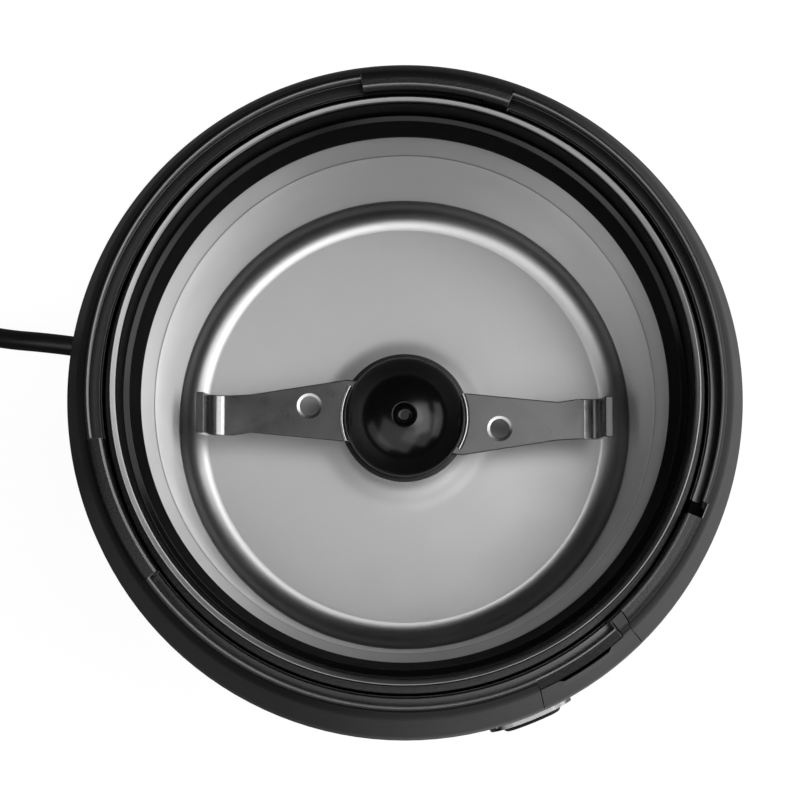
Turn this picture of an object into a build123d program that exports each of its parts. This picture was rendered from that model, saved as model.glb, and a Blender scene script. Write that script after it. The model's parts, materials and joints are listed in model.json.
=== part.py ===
"""Electric spice grinder with its lid off: housing, bowl, blade, motor, switches and cord.

Millimetres, +Z up, origin on the standing surface under the rotor's axis. +X is the right side and -Y
is the front, where the pulse button is. Azimuths are degrees about +Z from +X.
"""

from build123d import *
from math import atan2, cos, degrees, hypot, pi, radians, sin, tan
import os

os.makedirs("parts", exist_ok=True)

# Housing
shell_low_z = 1.5
shell_top_z = 104.0
shell_low_r = 44.8
shoulder_r = 47.5
shell_wall = 2.3
rim_z = 120.0
rim_edge_r = 43.2

# Lid seat: collar, channel and bayonet
collar_r = 40.0
collar_lip_r = 39.0
flange_z = 108.5
flange_r = 44.1
land_r = 41.4
recess_r = 42.7
ledge_z = 115.0
land_thickness = 2.6
channel_z = 114.0
channel_outer_r = 41.2
recess_arcs = [(338.0, 92.0), (98.0, 91.3), (216.5, 94.5)]
lug_track_arcs = [(75.0, 23.0), (193.0, 23.5), (314.5, 20.0)]

# Bowl
bowl_floor_z = 61.5
bowl_wall_r = 35.5
bowl_fill_z = 99.4
bowl_fill_r = 35.8
bowl_edge_z = 106.6
bowl_edge_r = 37.3
bowl_corner = 3.3
sheet = 0.7
boss_r = 12.8
boss_rise = 1.0
bowl_hole_r = 6.3

# Blade and hub
blade_z = 74.4
blade_thickness = 1.2
blade_bend_x = 27.6
blade_tip_z = 80.4
blade_tip_half = 3.1
hub_r = 9.9
cap_r = 9.2
cap_top_z = 80.4
hub_low_z = 64.2

# Rotor and motor
shaft_r = 4.0
journal_r = 3.0
running_gap = 0.03
stack_low_z = 27.0
stack_high_z = 44.0
armature_r = 14.9
bore_r = 15.5
slots = 12
brush_z = 17.4
brush_face_r = 9.66
commutator_r = 9.6
bolt_x = 21.0
bolt_y = 19.0
mount_r = 28.5
bracket_z = 54.0
bracket_thickness = 2.2
upper_bearing_r = 6.5
upper_bearing_top_z = 59.2
lower_bearing_r = 5.5
bearing_low_z = 6.8
bearing_high_z = 12.4
holder_floor_z = 57.2

# Pulse button and lid interlock
button_azimuth = 292.1
button_z = 84.0
pin_azimuth = 337.5
pin_radius = 42.4
cover_start = 294.0
cover_end = 313.9
cover_tab_start = 311.2
cover_inner_r = 44.2
cover_low_z = 105.5
cover_tab_z = 117.6

# Cord
cord_d = 3.6
cord_r = cord_d / 2
cord_z = 10.0
cord_wall_point = (-41.9, 16.4)
cord_wall_azimuth = degrees(atan2(cord_wall_point[1], cord_wall_point[0]))
cord_azimuth = 172.0
boot_out = 15.0
coil_centre = (-120.0, 1.0)
coil_inner_turn_r = 16.8
coil_outer_turn_r = 27.6
coil_top_z = 5.4
tail_start = (-136.0, 28.2, coil_top_z)
plug_entry = (-150.5, 28.2, 6.85)


def write(piece, name):
    """Labels a finished piece and writes it to its own file."""
    piece.part.label = name
    export_step(piece.part, f"parts/{name}.step")


def on_circle(radius, azimuth, height=0.0):
    """The point at this radius, azimuth and height."""
    return (radius * cos(radians(azimuth)), radius * sin(radians(azimuth)), height)


def meridian(azimuth):
    """The upright plane through the axis: its x is the radius and its y is the height."""
    a = radians(azimuth)
    return Plane(origin=(0, 0, 0), x_dir=(cos(a), sin(a), 0), z_dir=(sin(a), -cos(a), 0))


def facing(azimuth, radius, height):
    """A plane that faces outwards: its x runs along the wall and its y is up."""
    a = radians(azimuth)
    return Plane(origin=on_circle(radius, azimuth, height), x_dir=(-sin(a), cos(a), 0), z_dir=(cos(a), sin(a), 0))


def disc(radius, low, high, mode=Mode.ADD):
    """An upright cylinder at the current locations, from one height to another."""
    with Locations((0, 0, low)):
        Cylinder(radius, high - low, align=(Align.CENTER, Align.CENTER, Align.MIN), mode=mode)


def wedge(inner, outer, low, high, start, sweep, mode=Mode.ADD):
    """A sector of a ring, from one azimuth through a sweep in degrees."""
    with BuildSketch(meridian(start)) as section:
        with Locations(((inner + outer) / 2, (low + high) / 2)):
            Rectangle(outer - inner, high - low)
    revolve(section.sketch, axis=Axis.Z, revolution_arc=sweep, mode=mode)


def block_out(azimuth, inner, outer, width, low, high, mode=Mode.ADD):
    """A box that points outwards along an azimuth, between two radii and two heights."""
    with BuildSketch(facing(azimuth, inner, (low + high) / 2)) as section:
        Rectangle(width, high - low)
    extrude(section.sketch, amount=outer - inner, mode=mode)


def rod_out(azimuth, inner, outer, radius, height, mode=Mode.ADD):
    """A round rod that points outwards along an azimuth."""
    with BuildSketch(facing(azimuth, inner, height)) as section:
        Circle(radius)
    extrude(section.sketch, amount=outer - inner, mode=mode)


def shell_r(height):
    """The outer radius of the body shell's taper at a height."""
    rise = (height - shell_low_z) / (shell_top_z - shell_low_z)
    return shell_low_r + (shoulder_r - shell_low_r) * rise


def spring_coil(radius, wire, length, turns):
    """A round-wire coil spring that stands on the plane XY."""
    with BuildPart() as coil:
        with BuildLine() as path:
            Helix(pitch=(length - 2 * wire) / turns, height=length - 2 * wire, radius=radius)
        with BuildSketch(Plane(origin=path.line @ 0, z_dir=path.line % 0)):
            Circle(wire)
        sweep(is_frenet=True)
    return Pos(0, 0, wire) * coil.part


# ---------------------------------------------------------------- body shell and trim

trim_low_z = 98.0
trim_high_z = 101.5
trim_inner_r = 46.9
trim_outer_r = 48.05
sleeve_width = 10.8
sleeve_height = 24.4
screw_azimuths = [30.0, 120.0, 210.0, 300.0]
screw_ring_r = 38.5
post_top_z = 8.2

with BuildPart() as body_shell:
    with BuildSketch(Plane.XZ):
        with BuildLine():
            Polyline(
                (shell_low_r - shell_wall, shell_low_z),
                (shell_low_r - 1.0, shell_low_z),
                (shell_r(shell_low_z + 1.0), shell_low_z + 1.0),
                (shoulder_r, shell_top_z),
                (shoulder_r - shell_wall, shell_top_z),
                close=True,
            )
        make_face()
    revolve(axis=Axis.Z)
    wedge(trim_inner_r, 50.0, trim_low_z, trim_high_z, 0, 360, mode=Mode.SUBTRACT)
    block_out(button_azimuth, 40, 50, sleeve_width, button_z - sleeve_height / 2, button_z + sleeve_height / 2,
              mode=Mode.SUBTRACT)
    for azimuth in screw_azimuths:
        block_out(azimuth, 41.0, 43.6, 2.4, post_top_z, 24.0)
        with Locations(on_circle(screw_ring_r, azimuth)):
            disc(3.6, post_top_z, 24.0)
            disc(1.3, post_top_z, 22.0, mode=Mode.SUBTRACT)
    boot_plane = Plane(
        origin=(*cord_wall_point, cord_z),
        z_dir=(cos(radians(cord_azimuth)), sin(radians(cord_azimuth)), 0),
    )
    with BuildSketch(boot_plane.offset(-8)):
        Circle(4.0)
    extrude(amount=16, mode=Mode.SUBTRACT)
write(body_shell, "body_shell")

with BuildPart() as trim_ring:
    with BuildSketch(Plane.XZ):
        with BuildLine():
            Polyline((trim_outer_r - 0.5, trim_low_z), (trim_inner_r, trim_low_z), (trim_inner_r, trim_high_z),
                     (trim_outer_r - 0.5, trim_high_z))
            ThreePointArc((trim_outer_r - 0.5, trim_high_z), (trim_outer_r, (trim_low_z + trim_high_z) / 2),
                          (trim_outer_r - 0.5, trim_low_z))
        make_face()
    revolve(axis=Axis.Z)
write(trim_ring, "trim_ring")

# ---------------------------------------------------------------- top ring with the bayonet

skirt_inner_r = 44.2
skirt_outer_r = 45.0
skirt_low_z = 99.0
holder_screw_azimuths = [20.0, 110.0, 200.0, 290.0]
holder_screw_ring_r = 42.6
holder_screw_r = 0.9
holder_screw_top_z = 113.5
pin_slot_inner_r = 41.0
pin_slot_outer_r = 43.6

with BuildPart() as whole_ring:
    with BuildSketch(Plane.XZ):
        with BuildLine():
            Polyline((rim_edge_r, rim_z), (land_r + 0.3, rim_z), (land_r, rim_z - 0.3), (land_r, flange_z),
                     (skirt_inner_r, flange_z), (skirt_inner_r, skirt_low_z), (skirt_outer_r, skirt_low_z),
                     (skirt_outer_r, shell_top_z), (shoulder_r, shell_top_z), (shoulder_r, shell_top_z + 0.8),
                     (shoulder_r - 0.15, shell_top_z + 3.2), (rim_edge_r + 1.15, rim_z - 1.2))
            ThreePointArc((rim_edge_r + 1.15, rim_z - 1.2), (rim_edge_r + 0.85, rim_z - 0.32), (rim_edge_r, rim_z))
        make_face()
    revolve(axis=Axis.Z)
    for start, sweep_angle in recess_arcs:
        wedge(land_r - 1, recess_r, ledge_z, rim_z + 1, start, sweep_angle, mode=Mode.SUBTRACT)
    for start, sweep_angle in lug_track_arcs:
        wedge(land_r - 1, recess_r, ledge_z, rim_z - land_thickness, start, sweep_angle, mode=Mode.SUBTRACT)
    for azimuth in holder_screw_azimuths:
        with Locations(on_circle(holder_screw_ring_r, azimuth)):
            disc(holder_screw_r, flange_z, holder_screw_top_z, mode=Mode.SUBTRACT)
    block_out(pin_azimuth, pin_slot_inner_r, pin_slot_outer_r, 2.2, flange_z - 1, rim_z + 1, mode=Mode.SUBTRACT)
    block_out(pin_azimuth, pin_slot_outer_r - 0.1, skirt_outer_r + 0.3, 7.0, skirt_low_z - 1, shell_top_z,
              mode=Mode.SUBTRACT)


def cover_zone(gap):
    """The space that the shoulder's inserted cover fills, drawn back by a gap on every side."""
    margin = degrees(gap / shoulder_r)
    with BuildPart() as zone:
        with BuildSketch(meridian(cover_start + margin)) as face:
            with BuildLine():
                Polyline((cover_inner_r + gap, rim_z + 1), (shoulder_r + 2, rim_z + 1),
                         (shoulder_r + 2, cover_low_z + gap), (cover_inner_r + 1.5 + gap, cover_low_z + gap),
                         (cover_inner_r + gap, 112.0), close=True)
            make_face()
        revolve(face.sketch, axis=Axis.Z, revolution_arc=cover_end - cover_start - 2 * margin)
        wedge(land_r - 1, cover_inner_r + 0.2, cover_tab_z + gap, rim_z + 1, cover_tab_start + margin,
              cover_end - cover_tab_start - 2 * margin)
    return zone.part


with BuildPart() as lock_cover:
    add(whole_ring.part)
    add(cover_zone(0.1), mode=Mode.INTERSECT)
write(lock_cover, "lock_cover")

with BuildPart() as top_ring:
    add(whole_ring.part)
    add(cover_zone(0), mode=Mode.SUBTRACT)
write(top_ring, "top_ring")

# ---------------------------------------------------------------- collar, bowl and what holds them

with BuildPart() as collar:
    with BuildSketch(Plane.XZ):
        with BuildLine():
            Polyline((bowl_edge_r + 0.1, bowl_edge_z), (flange_r, bowl_edge_z), (flange_r, flange_z),
                     (channel_outer_r, flange_z), (channel_outer_r, channel_z), (collar_r, channel_z),
                     (collar_r, rim_z - 0.25), (collar_r - 0.25, rim_z),
                     (collar_lip_r + 0.2, rim_z), (collar_lip_r, rim_z - 0.3), (collar_lip_r - 0.25, 113.2),
                     (38.1, 112.6), (bowl_edge_r + 0.1, bowl_edge_z + 0.5), close=True)
        make_face()
    revolve(axis=Axis.Z)
    for azimuth in holder_screw_azimuths:
        with Locations(on_circle(holder_screw_ring_r, azimuth)):
            disc(holder_screw_r + 0.1, bowl_edge_z, flange_z, mode=Mode.SUBTRACT)
    block_out(pin_azimuth, 40.9, 43.7, 2.6, bowl_edge_z - 1, channel_z + 1, mode=Mode.SUBTRACT)
write(collar, "collar")

gasket_z = bowl_edge_z - sheet
with BuildPart() as bowl:
    with BuildSketch(Plane.XZ):
        with BuildLine():
            Polyline((bowl_wall_r, bowl_floor_z + bowl_corner), (bowl_fill_r - 0.1, bowl_fill_z - 0.3),
                     (bowl_fill_r + 0.2, bowl_fill_z), (bowl_edge_r, bowl_edge_z), (40.3, bowl_edge_z),
                     (40.3, gasket_z), (bowl_edge_r + 0.5, gasket_z),
                     (bowl_fill_r + sheet + 0.2, bowl_fill_z - 0.1),
                     (bowl_wall_r + sheet, bowl_floor_z + bowl_corner))
            RadiusArc((bowl_wall_r + sheet, bowl_floor_z + bowl_corner),
                      (bowl_wall_r - bowl_corner, bowl_floor_z - sheet), bowl_corner + sheet)
            Polyline((bowl_wall_r - bowl_corner, bowl_floor_z - sheet), (boss_r, bowl_floor_z - sheet),
                     (boss_r - 1.4, bowl_floor_z - sheet + boss_rise),
                     (bowl_hole_r, bowl_floor_z - sheet + boss_rise), (bowl_hole_r, bowl_floor_z + boss_rise),
                     (boss_r - 1.5, bowl_floor_z + boss_rise), (boss_r, bowl_floor_z),
                     (bowl_wall_r - bowl_corner, bowl_floor_z))
            RadiusArc((bowl_wall_r - bowl_corner, bowl_floor_z), (bowl_wall_r, bowl_floor_z + bowl_corner),
                      -bowl_corner)
        make_face()
    revolve(axis=Axis.Z)
write(bowl, "bowl")

holder_top_z = 105.2
with BuildPart() as bowl_gasket:
    wedge(38.7, 40.3, holder_top_z, gasket_z, 0, 360)
write(bowl_gasket, "bowl_gasket")

holder_low_r = 38.7
holder_high_r = 40.1
switch_low_z = 84.5
switch_high_z = 91.0
pulse_switch_z = 49.4
with BuildPart() as bowl_holder:
    with BuildSketch(Plane.XZ):
        with BuildLine():
            Polyline((14.5, holder_floor_z), (holder_low_r, holder_floor_z), (holder_low_r, 95.4),
                     (holder_high_r, 95.4), (holder_high_r, 103.0), (flange_r, 103.0), (flange_r, holder_top_z),
                     (38.5, holder_top_z), (38.5, 97.0), (37.1, 97.0), (37.1, holder_floor_z + 2.2),
                     (14.5, holder_floor_z + 2.2), close=True)
        make_face()
    revolve(axis=Axis.Z)
    block_out(pin_azimuth, 38.5, 44.0, 8.0, 94.4, 96.0)
    block_out(pin_azimuth, 38.4, 39.0, 8.0, switch_low_z, switch_high_z)
    block_out(button_azimuth, 32.0, 37.0, 10.0, pulse_switch_z + 2.9, holder_floor_z + 1.0)
    block_out(pin_azimuth, 41.0, 43.8, 3.6, 102.0, 106.0, mode=Mode.SUBTRACT)
    with Locations(on_circle(pin_radius, pin_azimuth)):
        disc(1.0, 94.0, 97.0, mode=Mode.SUBTRACT)
    for azimuth in holder_screw_azimuths:
        with Locations(on_circle(holder_screw_ring_r, azimuth)):
            disc(holder_screw_r + 0.1, 103.0, holder_top_z, mode=Mode.SUBTRACT)
    for azimuth in [0, 90, 180, 270]:
        with Locations(on_circle(mount_r, azimuth)):
            disc(1.7, holder_floor_z, holder_floor_z + 2.2, mode=Mode.SUBTRACT)
write(bowl_holder, "bowl_holder")

with BuildPart() as holder_screws:
    for azimuth in holder_screw_azimuths:
        with Locations(on_circle(holder_screw_ring_r, azimuth)):
            disc(1.5, 101.8, 103.0)
            disc(holder_screw_r, 103.0, 113.5)
            disc(0.6, 101.8, 102.4, mode=Mode.SUBTRACT)
write(holder_screws, "holder_screws")

# ---------------------------------------------------------------- rotor: shaft, drive, blade and hub

step_z = 13.4
flat_low_z = 66.0
thread_low_z = blade_z + blade_thickness
thread_high_z = 78.0
flat_width = 6.4
with BuildPart() as motor_shaft:
    disc(journal_r, 6.8, step_z)
    disc(shaft_r, step_z, flat_low_z)
    with BuildSketch(Plane.XY.offset(flat_low_z)):
        Circle(shaft_r)
        Rectangle(flat_width, 2 * shaft_r, mode=Mode.INTERSECT)
    extrude(amount=thread_low_z - flat_low_z)
    disc(journal_r, thread_low_z, thread_high_z)
write(motor_shaft, "motor_shaft")


def shaft_flats(low, high):
    """Cuts the shaft's two-flat hole through a piece that the shaft drives."""
    with BuildSketch(Plane.XY.offset(low)) as hole:
        Circle(shaft_r)
        Rectangle(flat_width, 2 * shaft_r, mode=Mode.INTERSECT)
    extrude(hole.sketch, amount=high - low, mode=Mode.SUBTRACT)


with BuildPart() as drive_hub:
    with BuildSketch(Plane.XZ):
        with BuildLine():
            Polyline((0, hub_low_z), (6.6, hub_low_z), (7.2, 66.5), (hub_r, 70.5), (hub_r, blade_z), (0, blade_z),
                     close=True)
        make_face()
    revolve(axis=Axis.Z)
    disc(shaft_r, hub_low_z, flat_low_z, mode=Mode.SUBTRACT)
    shaft_flats(flat_low_z, blade_z)
write(drive_hub, "drive_hub")

with BuildPart() as blade:
    with BuildSketch(Plane.XY.offset(blade_z)):
        with BuildLine():
            Polyline((8.9, -5.7), (23.5, -2.75), (26.6, -blade_tip_half), (blade_bend_x, -blade_tip_half),
                     (blade_bend_x, blade_tip_half), (26.6, blade_tip_half), (23.5, 2.6), (8.9, 3.85), (-8.9, 5.7),
                     (-23.5, 2.75), (-26.6, blade_tip_half), (-blade_bend_x, blade_tip_half),
                     (-blade_bend_x, -blade_tip_half), (-26.6, -blade_tip_half), (-23.5, -2.6), (-8.9, -3.85),
                     close=True)
        make_face()
        Circle(cap_r)
        with Locations((14.6, -1.6), (-14.6, 1.6)):
            Circle(1.55, mode=Mode.SUBTRACT)
    extrude(amount=blade_thickness)
    for side in [1, -1]:
        bend = 2.4
        low = blade_z
        high = blade_z + blade_thickness
        with BuildSketch(Plane.XZ.offset(-blade_tip_half)):
            with BuildLine():
                RadiusArc((side * blade_bend_x, low), (side * (blade_bend_x + bend + blade_thickness), high + bend),
                          -side * (bend + blade_thickness))
                Polyline((side * (blade_bend_x + bend + blade_thickness), high + bend),
                         (side * (blade_bend_x + bend + blade_thickness + 0.4), blade_tip_z),
                         (side * (blade_bend_x + bend + 0.4), blade_tip_z),
                         (side * (blade_bend_x + bend), high + bend))
                RadiusArc((side * (blade_bend_x + bend), high + bend), (side * blade_bend_x, high), side * bend)
                Line((side * blade_bend_x, high), (side * blade_bend_x, low))
            make_face()
        extrude(amount=2 * blade_tip_half)
    shaft_flats(blade_z, blade_z + blade_thickness)
write(blade, "blade")

insert_low_z = blade_z + blade_thickness + 0.2
insert_high_z = 78.0
with BuildPart() as hub_insert:
    with BuildSketch(Plane.XY.offset(insert_low_z)):
        RegularPolygon(4.6, 6)
        Circle(journal_r, mode=Mode.SUBTRACT)
    extrude(amount=insert_high_z - insert_low_z)
write(hub_insert, "hub_insert")

dimple_z = 78.8
with BuildPart() as hub_cap:
    with BuildSketch(Plane.XZ):
        with BuildLine():
            Polyline((0, thread_low_z), (cap_r, thread_low_z), (cap_r, thread_low_z + 0.6))
            ThreePointArc((cap_r, thread_low_z + 0.6), (6.9, 79.3), (1.9, cap_top_z))
            Polyline((1.9, cap_top_z), (1.3, dimple_z), (0, dimple_z), (0, thread_low_z))
        make_face()
    revolve(axis=Axis.Z)
    disc(journal_r, thread_low_z, insert_low_z, mode=Mode.SUBTRACT)
    with BuildSketch(Plane.XY.offset(insert_low_z)):
        RegularPolygon(4.6, 6)
    extrude(amount=insert_high_z - insert_low_z, mode=Mode.SUBTRACT)
write(hub_cap, "hub_cap")

with BuildPart() as shaft_seal:
    disc(8.4, bowl_floor_z - sheet + boss_rise - 1.7, bowl_floor_z - sheet + boss_rise)
    disc(bowl_hole_r, bowl_floor_z - sheet + boss_rise, bowl_floor_z + boss_rise)
    disc(7.6, bowl_floor_z + boss_rise, bowl_floor_z + boss_rise + 1.2)
    disc(shaft_r + 0.05, 60, 64, mode=Mode.SUBTRACT)
write(shaft_seal, "shaft_seal")

fan_low_z = 48.8
fan_high_z = 53.2
with BuildPart() as cooling_fan:
    disc(6.5, fan_low_z, fan_high_z)
    disc(20.0, fan_low_z, fan_low_z + 1.0)
    with PolarLocations(0, 9, start_angle=20):
        with Locations((13.0, 0, fan_low_z + 1.0)):
            Box(13.6, 1.1, 2.8, rotation=(0, 0, 24), align=(Align.CENTER, Align.CENTER, Align.MIN))
    disc(shaft_r, fan_low_z, fan_high_z, mode=Mode.SUBTRACT)
write(cooling_fan, "cooling_fan")

with BuildPart() as thrust_washers:
    disc(6.2, fan_high_z, 53.9)
    disc(shaft_r, fan_high_z, 53.9, mode=Mode.SUBTRACT)
    disc(5.2, 12.6, step_z)
    disc(journal_r, 12.6, step_z, mode=Mode.SUBTRACT)
write(thrust_washers, "thrust_washers")

slot_r = 1.9
slot_ring_r = 11.3
with BuildPart() as armature_core:
    with BuildSketch(Plane.XY.offset(stack_low_z)):
        Circle(armature_r)
        Circle(shaft_r, mode=Mode.SUBTRACT)
        with PolarLocations(slot_ring_r, slots):
            Circle(slot_r, mode=Mode.SUBTRACT)
        with PolarLocations(armature_r, slots):
            Rectangle(4.0, 1.3, mode=Mode.SUBTRACT)
    extrude(amount=stack_high_z - stack_low_z)
write(armature_core, "armature_core")

with BuildPart() as armature_winding:
    for low, high in [(23.4, stack_low_z), (stack_high_z, 47.8)]:
        wedge(5.4, 13.6, low, high, 0, 360)
    fillet(armature_winding.edges().filter_by(GeomType.CIRCLE).group_by(SortBy.RADIUS)[-1], 1.0)
    with BuildSketch(Plane.XY.offset(stack_low_z)):
        with PolarLocations(slot_ring_r, slots):
            Circle(slot_r)
    extrude(amount=stack_high_z - stack_low_z)
write(armature_winding, "armature_winding")

commutator_low_z = 13.6
commutator_high_z = 22.8
with BuildPart() as commutator:
    disc(commutator_r, commutator_low_z, commutator_high_z)
    disc(commutator_r + 1.0, commutator_high_z - 1.6, commutator_high_z)
    disc(shaft_r, commutator_low_z, commutator_high_z, mode=Mode.SUBTRACT)
    with BuildSketch(Plane.XY.offset(commutator_low_z)):
        with PolarLocations(10.2, 2 * slots, start_angle=7.5):
            Rectangle(2.8, 0.5)
    extrude(amount=commutator_high_z - commutator_low_z, mode=Mode.SUBTRACT)
write(commutator, "commutator")

# ---------------------------------------------------------------- motor frame

stator_x = 54.0
stator_y = 44.0
with BuildPart() as stator_core:
    with BuildSketch(Plane.XY.offset(stack_low_z)):
        RectangleRounded(stator_x, stator_y, 5)
        RectangleRounded(46, 32, 1, mode=Mode.SUBTRACT)
        with Locations((20, 0), (-20, 0)):
            Rectangle(7.5, 14)
        with BuildSketch(mode=Mode.PRIVATE) as shoes:
            Circle(18)
            Rectangle(40, 27, mode=Mode.INTERSECT)
            Rectangle(17, 40, mode=Mode.SUBTRACT)
        add(shoes.sketch)
        Circle(bore_r, mode=Mode.SUBTRACT)
        with Locations((bolt_x, bolt_y), (-bolt_x, bolt_y), (bolt_x, -bolt_y), (-bolt_x, -bolt_y)):
            Circle(1.7, mode=Mode.SUBTRACT)
    extrude(amount=stack_high_z - stack_low_z)
write(stator_core, "stator_core")

stack_middle_z = (stack_low_z + stack_high_z) / 2
with BuildPart() as field_coils:
    for side in [1, -1]:
        with BuildSketch(Plane.YZ.offset(side * 18.6)):
            with Locations((0, stack_middle_z)):
                RectangleRounded(30.4, 25.2, 4)
                Rectangle(14.2, 17.2, mode=Mode.SUBTRACT)
        extrude(amount=side * 4.1)
write(field_coils, "field_coils")

legs = [(bolt_x, bolt_y), (-bolt_x, bolt_y), (bolt_x, -bolt_y), (-bolt_x, -bolt_y)]
leg_ring_r = hypot(bolt_x, bolt_y)
leg_azimuth = degrees(atan2(bolt_y, bolt_x))
with BuildPart() as upper_bracket:
    for turn in [leg_azimuth, -leg_azimuth]:
        with Locations((0, 0, bracket_z)):
            Box(2 * leg_ring_r, 7, bracket_thickness, rotation=(0, 0, turn),
                align=(Align.CENTER, Align.CENTER, Align.MIN))
    for turn in [0, 90]:
        with Locations((0, 0, bracket_z)):
            Box(2 * mount_r, 9, bracket_thickness, rotation=(0, 0, turn),
                align=(Align.CENTER, Align.CENTER, Align.MIN))
    disc(9.0, bracket_z, upper_bearing_top_z)
    with PolarLocations(mount_r, 4):
        disc(6.0, bracket_z, bracket_z + bracket_thickness)
        disc(3.5, bracket_z, bracket_z + bracket_thickness, mode=Mode.SUBTRACT)
    with Locations(*legs):
        disc(3.2, stack_high_z, bracket_z + bracket_thickness)
        disc(1.6, stack_high_z, bracket_z + bracket_thickness, mode=Mode.SUBTRACT)
    disc(upper_bearing_r, bracket_z, upper_bearing_top_z, mode=Mode.SUBTRACT)
write(upper_bracket, "upper_bracket")

with BuildPart() as upper_bearing:
    disc(upper_bearing_r, bracket_z + 0.1, upper_bearing_top_z)
    disc(shaft_r + running_gap, bracket_z, upper_bearing_top_z + 1, mode=Mode.SUBTRACT)
write(upper_bearing, "upper_bearing")

arm_low_z = 8.0
arm_high_z = 10.4
holder_low_z = brush_z - 4.0
with BuildPart() as lower_bracket:
    for turn in [leg_azimuth, -leg_azimuth]:
        with Locations((0, 0, arm_low_z)):
            Box(2 * leg_ring_r, 7, arm_high_z - arm_low_z, rotation=(0, 0, turn),
                align=(Align.CENTER, Align.CENTER, Align.MIN))
    with Locations((0, 0, arm_low_z)):
        Box(8, 52, arm_high_z - arm_low_z, align=(Align.CENTER, Align.CENTER, Align.MIN))
    with Locations((0, 20, arm_high_z), (0, -20, arm_high_z)):
        Box(8, 12, holder_low_z - arm_high_z, align=(Align.CENTER, Align.CENTER, Align.MIN))
    disc(7.5, bearing_low_z, bearing_high_z)
    with Locations(*legs):
        disc(3.2, arm_low_z, stack_low_z)
        disc(1.7, arm_low_z, stack_low_z, mode=Mode.SUBTRACT)
    disc(lower_bearing_r, bearing_low_z, bearing_high_z, mode=Mode.SUBTRACT)
write(lower_bracket, "lower_bracket")

with BuildPart() as lower_bearing:
    disc(lower_bearing_r, bearing_low_z, bearing_high_z)
    disc(journal_r + running_gap, bearing_low_z - 1, bearing_high_z + 1, mode=Mode.SUBTRACT)
write(lower_bearing, "lower_bearing")

screw_head_z = 5.8
with BuildPart() as motor_screws:
    with Locations(*legs):
        disc(2.8, screw_head_z, arm_low_z)
        disc(1.6, arm_low_z, bracket_z + bracket_thickness)
        disc(1.2, screw_head_z, screw_head_z + 1.2, mode=Mode.SUBTRACT)
write(motor_screws, "motor_screws")

with BuildPart() as motor_mounts:
    with PolarLocations(mount_r, 4):
        disc(5.0, bracket_z - 1.0, bracket_z)
        disc(3.5, bracket_z, bracket_z + bracket_thickness)
        disc(5.0, bracket_z + bracket_thickness, holder_floor_z)
        disc(1.7, bracket_z - 1.0, holder_floor_z, mode=Mode.SUBTRACT)
write(motor_mounts, "motor_mounts")

with BuildPart() as mount_screws:
    with PolarLocations(mount_r, 4):
        disc(3.2, bracket_z - 3.2, bracket_z - 1.0)
        disc(1.7, bracket_z - 1.0, holder_floor_z + 2.0)
        disc(1.2, bracket_z - 3.2, bracket_z - 2.0, mode=Mode.SUBTRACT)
write(mount_screws, "mount_screws")

# ---------------------------------------------------------------- brush gear

with BuildPart() as carbon_brushes:
    with Locations((0, 15.6, brush_z), (0, -15.6, brush_z)):
        Box(5.0, 12.8, 6.4)
    disc(brush_face_r, 10, 25, mode=Mode.SUBTRACT)
write(carbon_brushes, "carbon_brushes")

with BuildPart() as brush_holders:
    with Locations((0, 19.6, brush_z), (0, -19.6, brush_z)):
        Box(6.6, 15.6, 8.0)
    with Locations((0, 18.9, brush_z), (0, -18.9, brush_z)):
        Box(5.0, 15.6, 6.4, mode=Mode.SUBTRACT)
write(brush_holders, "brush_holders")

brush_coil = spring_coil(1.9, 0.25, 4.4, 4)
with BuildPart() as brush_springs:
    add(Plane(origin=(0, 22.1, brush_z), z_dir=(0, 1, 0)) * brush_coil)
    add(Plane(origin=(0, -22.1, brush_z), z_dir=(0, -1, 0)) * brush_coil)
write(brush_springs, "brush_springs")

# ---------------------------------------------------------------- pulse button and its switch

bezel_width = 12.4
bezel_height = 26.0
bezel_r = 48.75
opening_width = 9.2
opening_height = 22.8

with BuildPart() as shell_envelope:
    with BuildSketch(Plane.XZ):
        with BuildLine():
            Polyline((0, 60), (shell_r(60), 60), (shell_r(103), 103), (0, 103), close=True)
        make_face()
    revolve(axis=Axis.Z)

with BuildPart() as button_bezel:
    with BuildSketch(facing(button_azimuth, 44.0, button_z)):
        RectangleRounded(bezel_width, bezel_height, 3.2)
    extrude(amount=8)
    add(shell_envelope.part, mode=Mode.SUBTRACT)
    block_out(button_azimuth, 43.2, 48.0, sleeve_width, button_z - sleeve_height / 2, button_z + sleeve_height / 2)
    with BuildSketch(facing(button_azimuth, 42.0, button_z)):
        RectangleRounded(opening_width, opening_height, 2.0)
    extrude(amount=12, mode=Mode.SUBTRACT)
    disc(bezel_r, 50, 110, mode=Mode.INTERSECT)
write(button_bezel, "button_bezel")

carrier_r = 42.6
with BuildPart() as pulse_button:
    with BuildSketch(facing(button_azimuth, carrier_r, button_z)):
        RectangleRounded(opening_width - 0.4, opening_height - 0.4, 1.9)
    extrude(amount=8)
    disc(bezel_r + 0.6, 50, 110, mode=Mode.INTERSECT)
    fillet(pulse_button.faces().filter_by(GeomType.CYLINDER).sort_by(SortBy.AREA)[-1].edges(), 0.7)
write(pulse_button, "pulse_button")

with BuildPart() as button_carrier:
    block_out(button_azimuth, carrier_r - 1.6, carrier_r, 10.4, 70.0, 94.4)
    block_out(button_azimuth, carrier_r - 1.6, carrier_r, 7.0, 47.0, 70.0)
    rod_out(button_azimuth, 39.9, carrier_r - 1.6, 1.5, pulse_switch_z)
write(button_carrier, "button_carrier")

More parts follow.
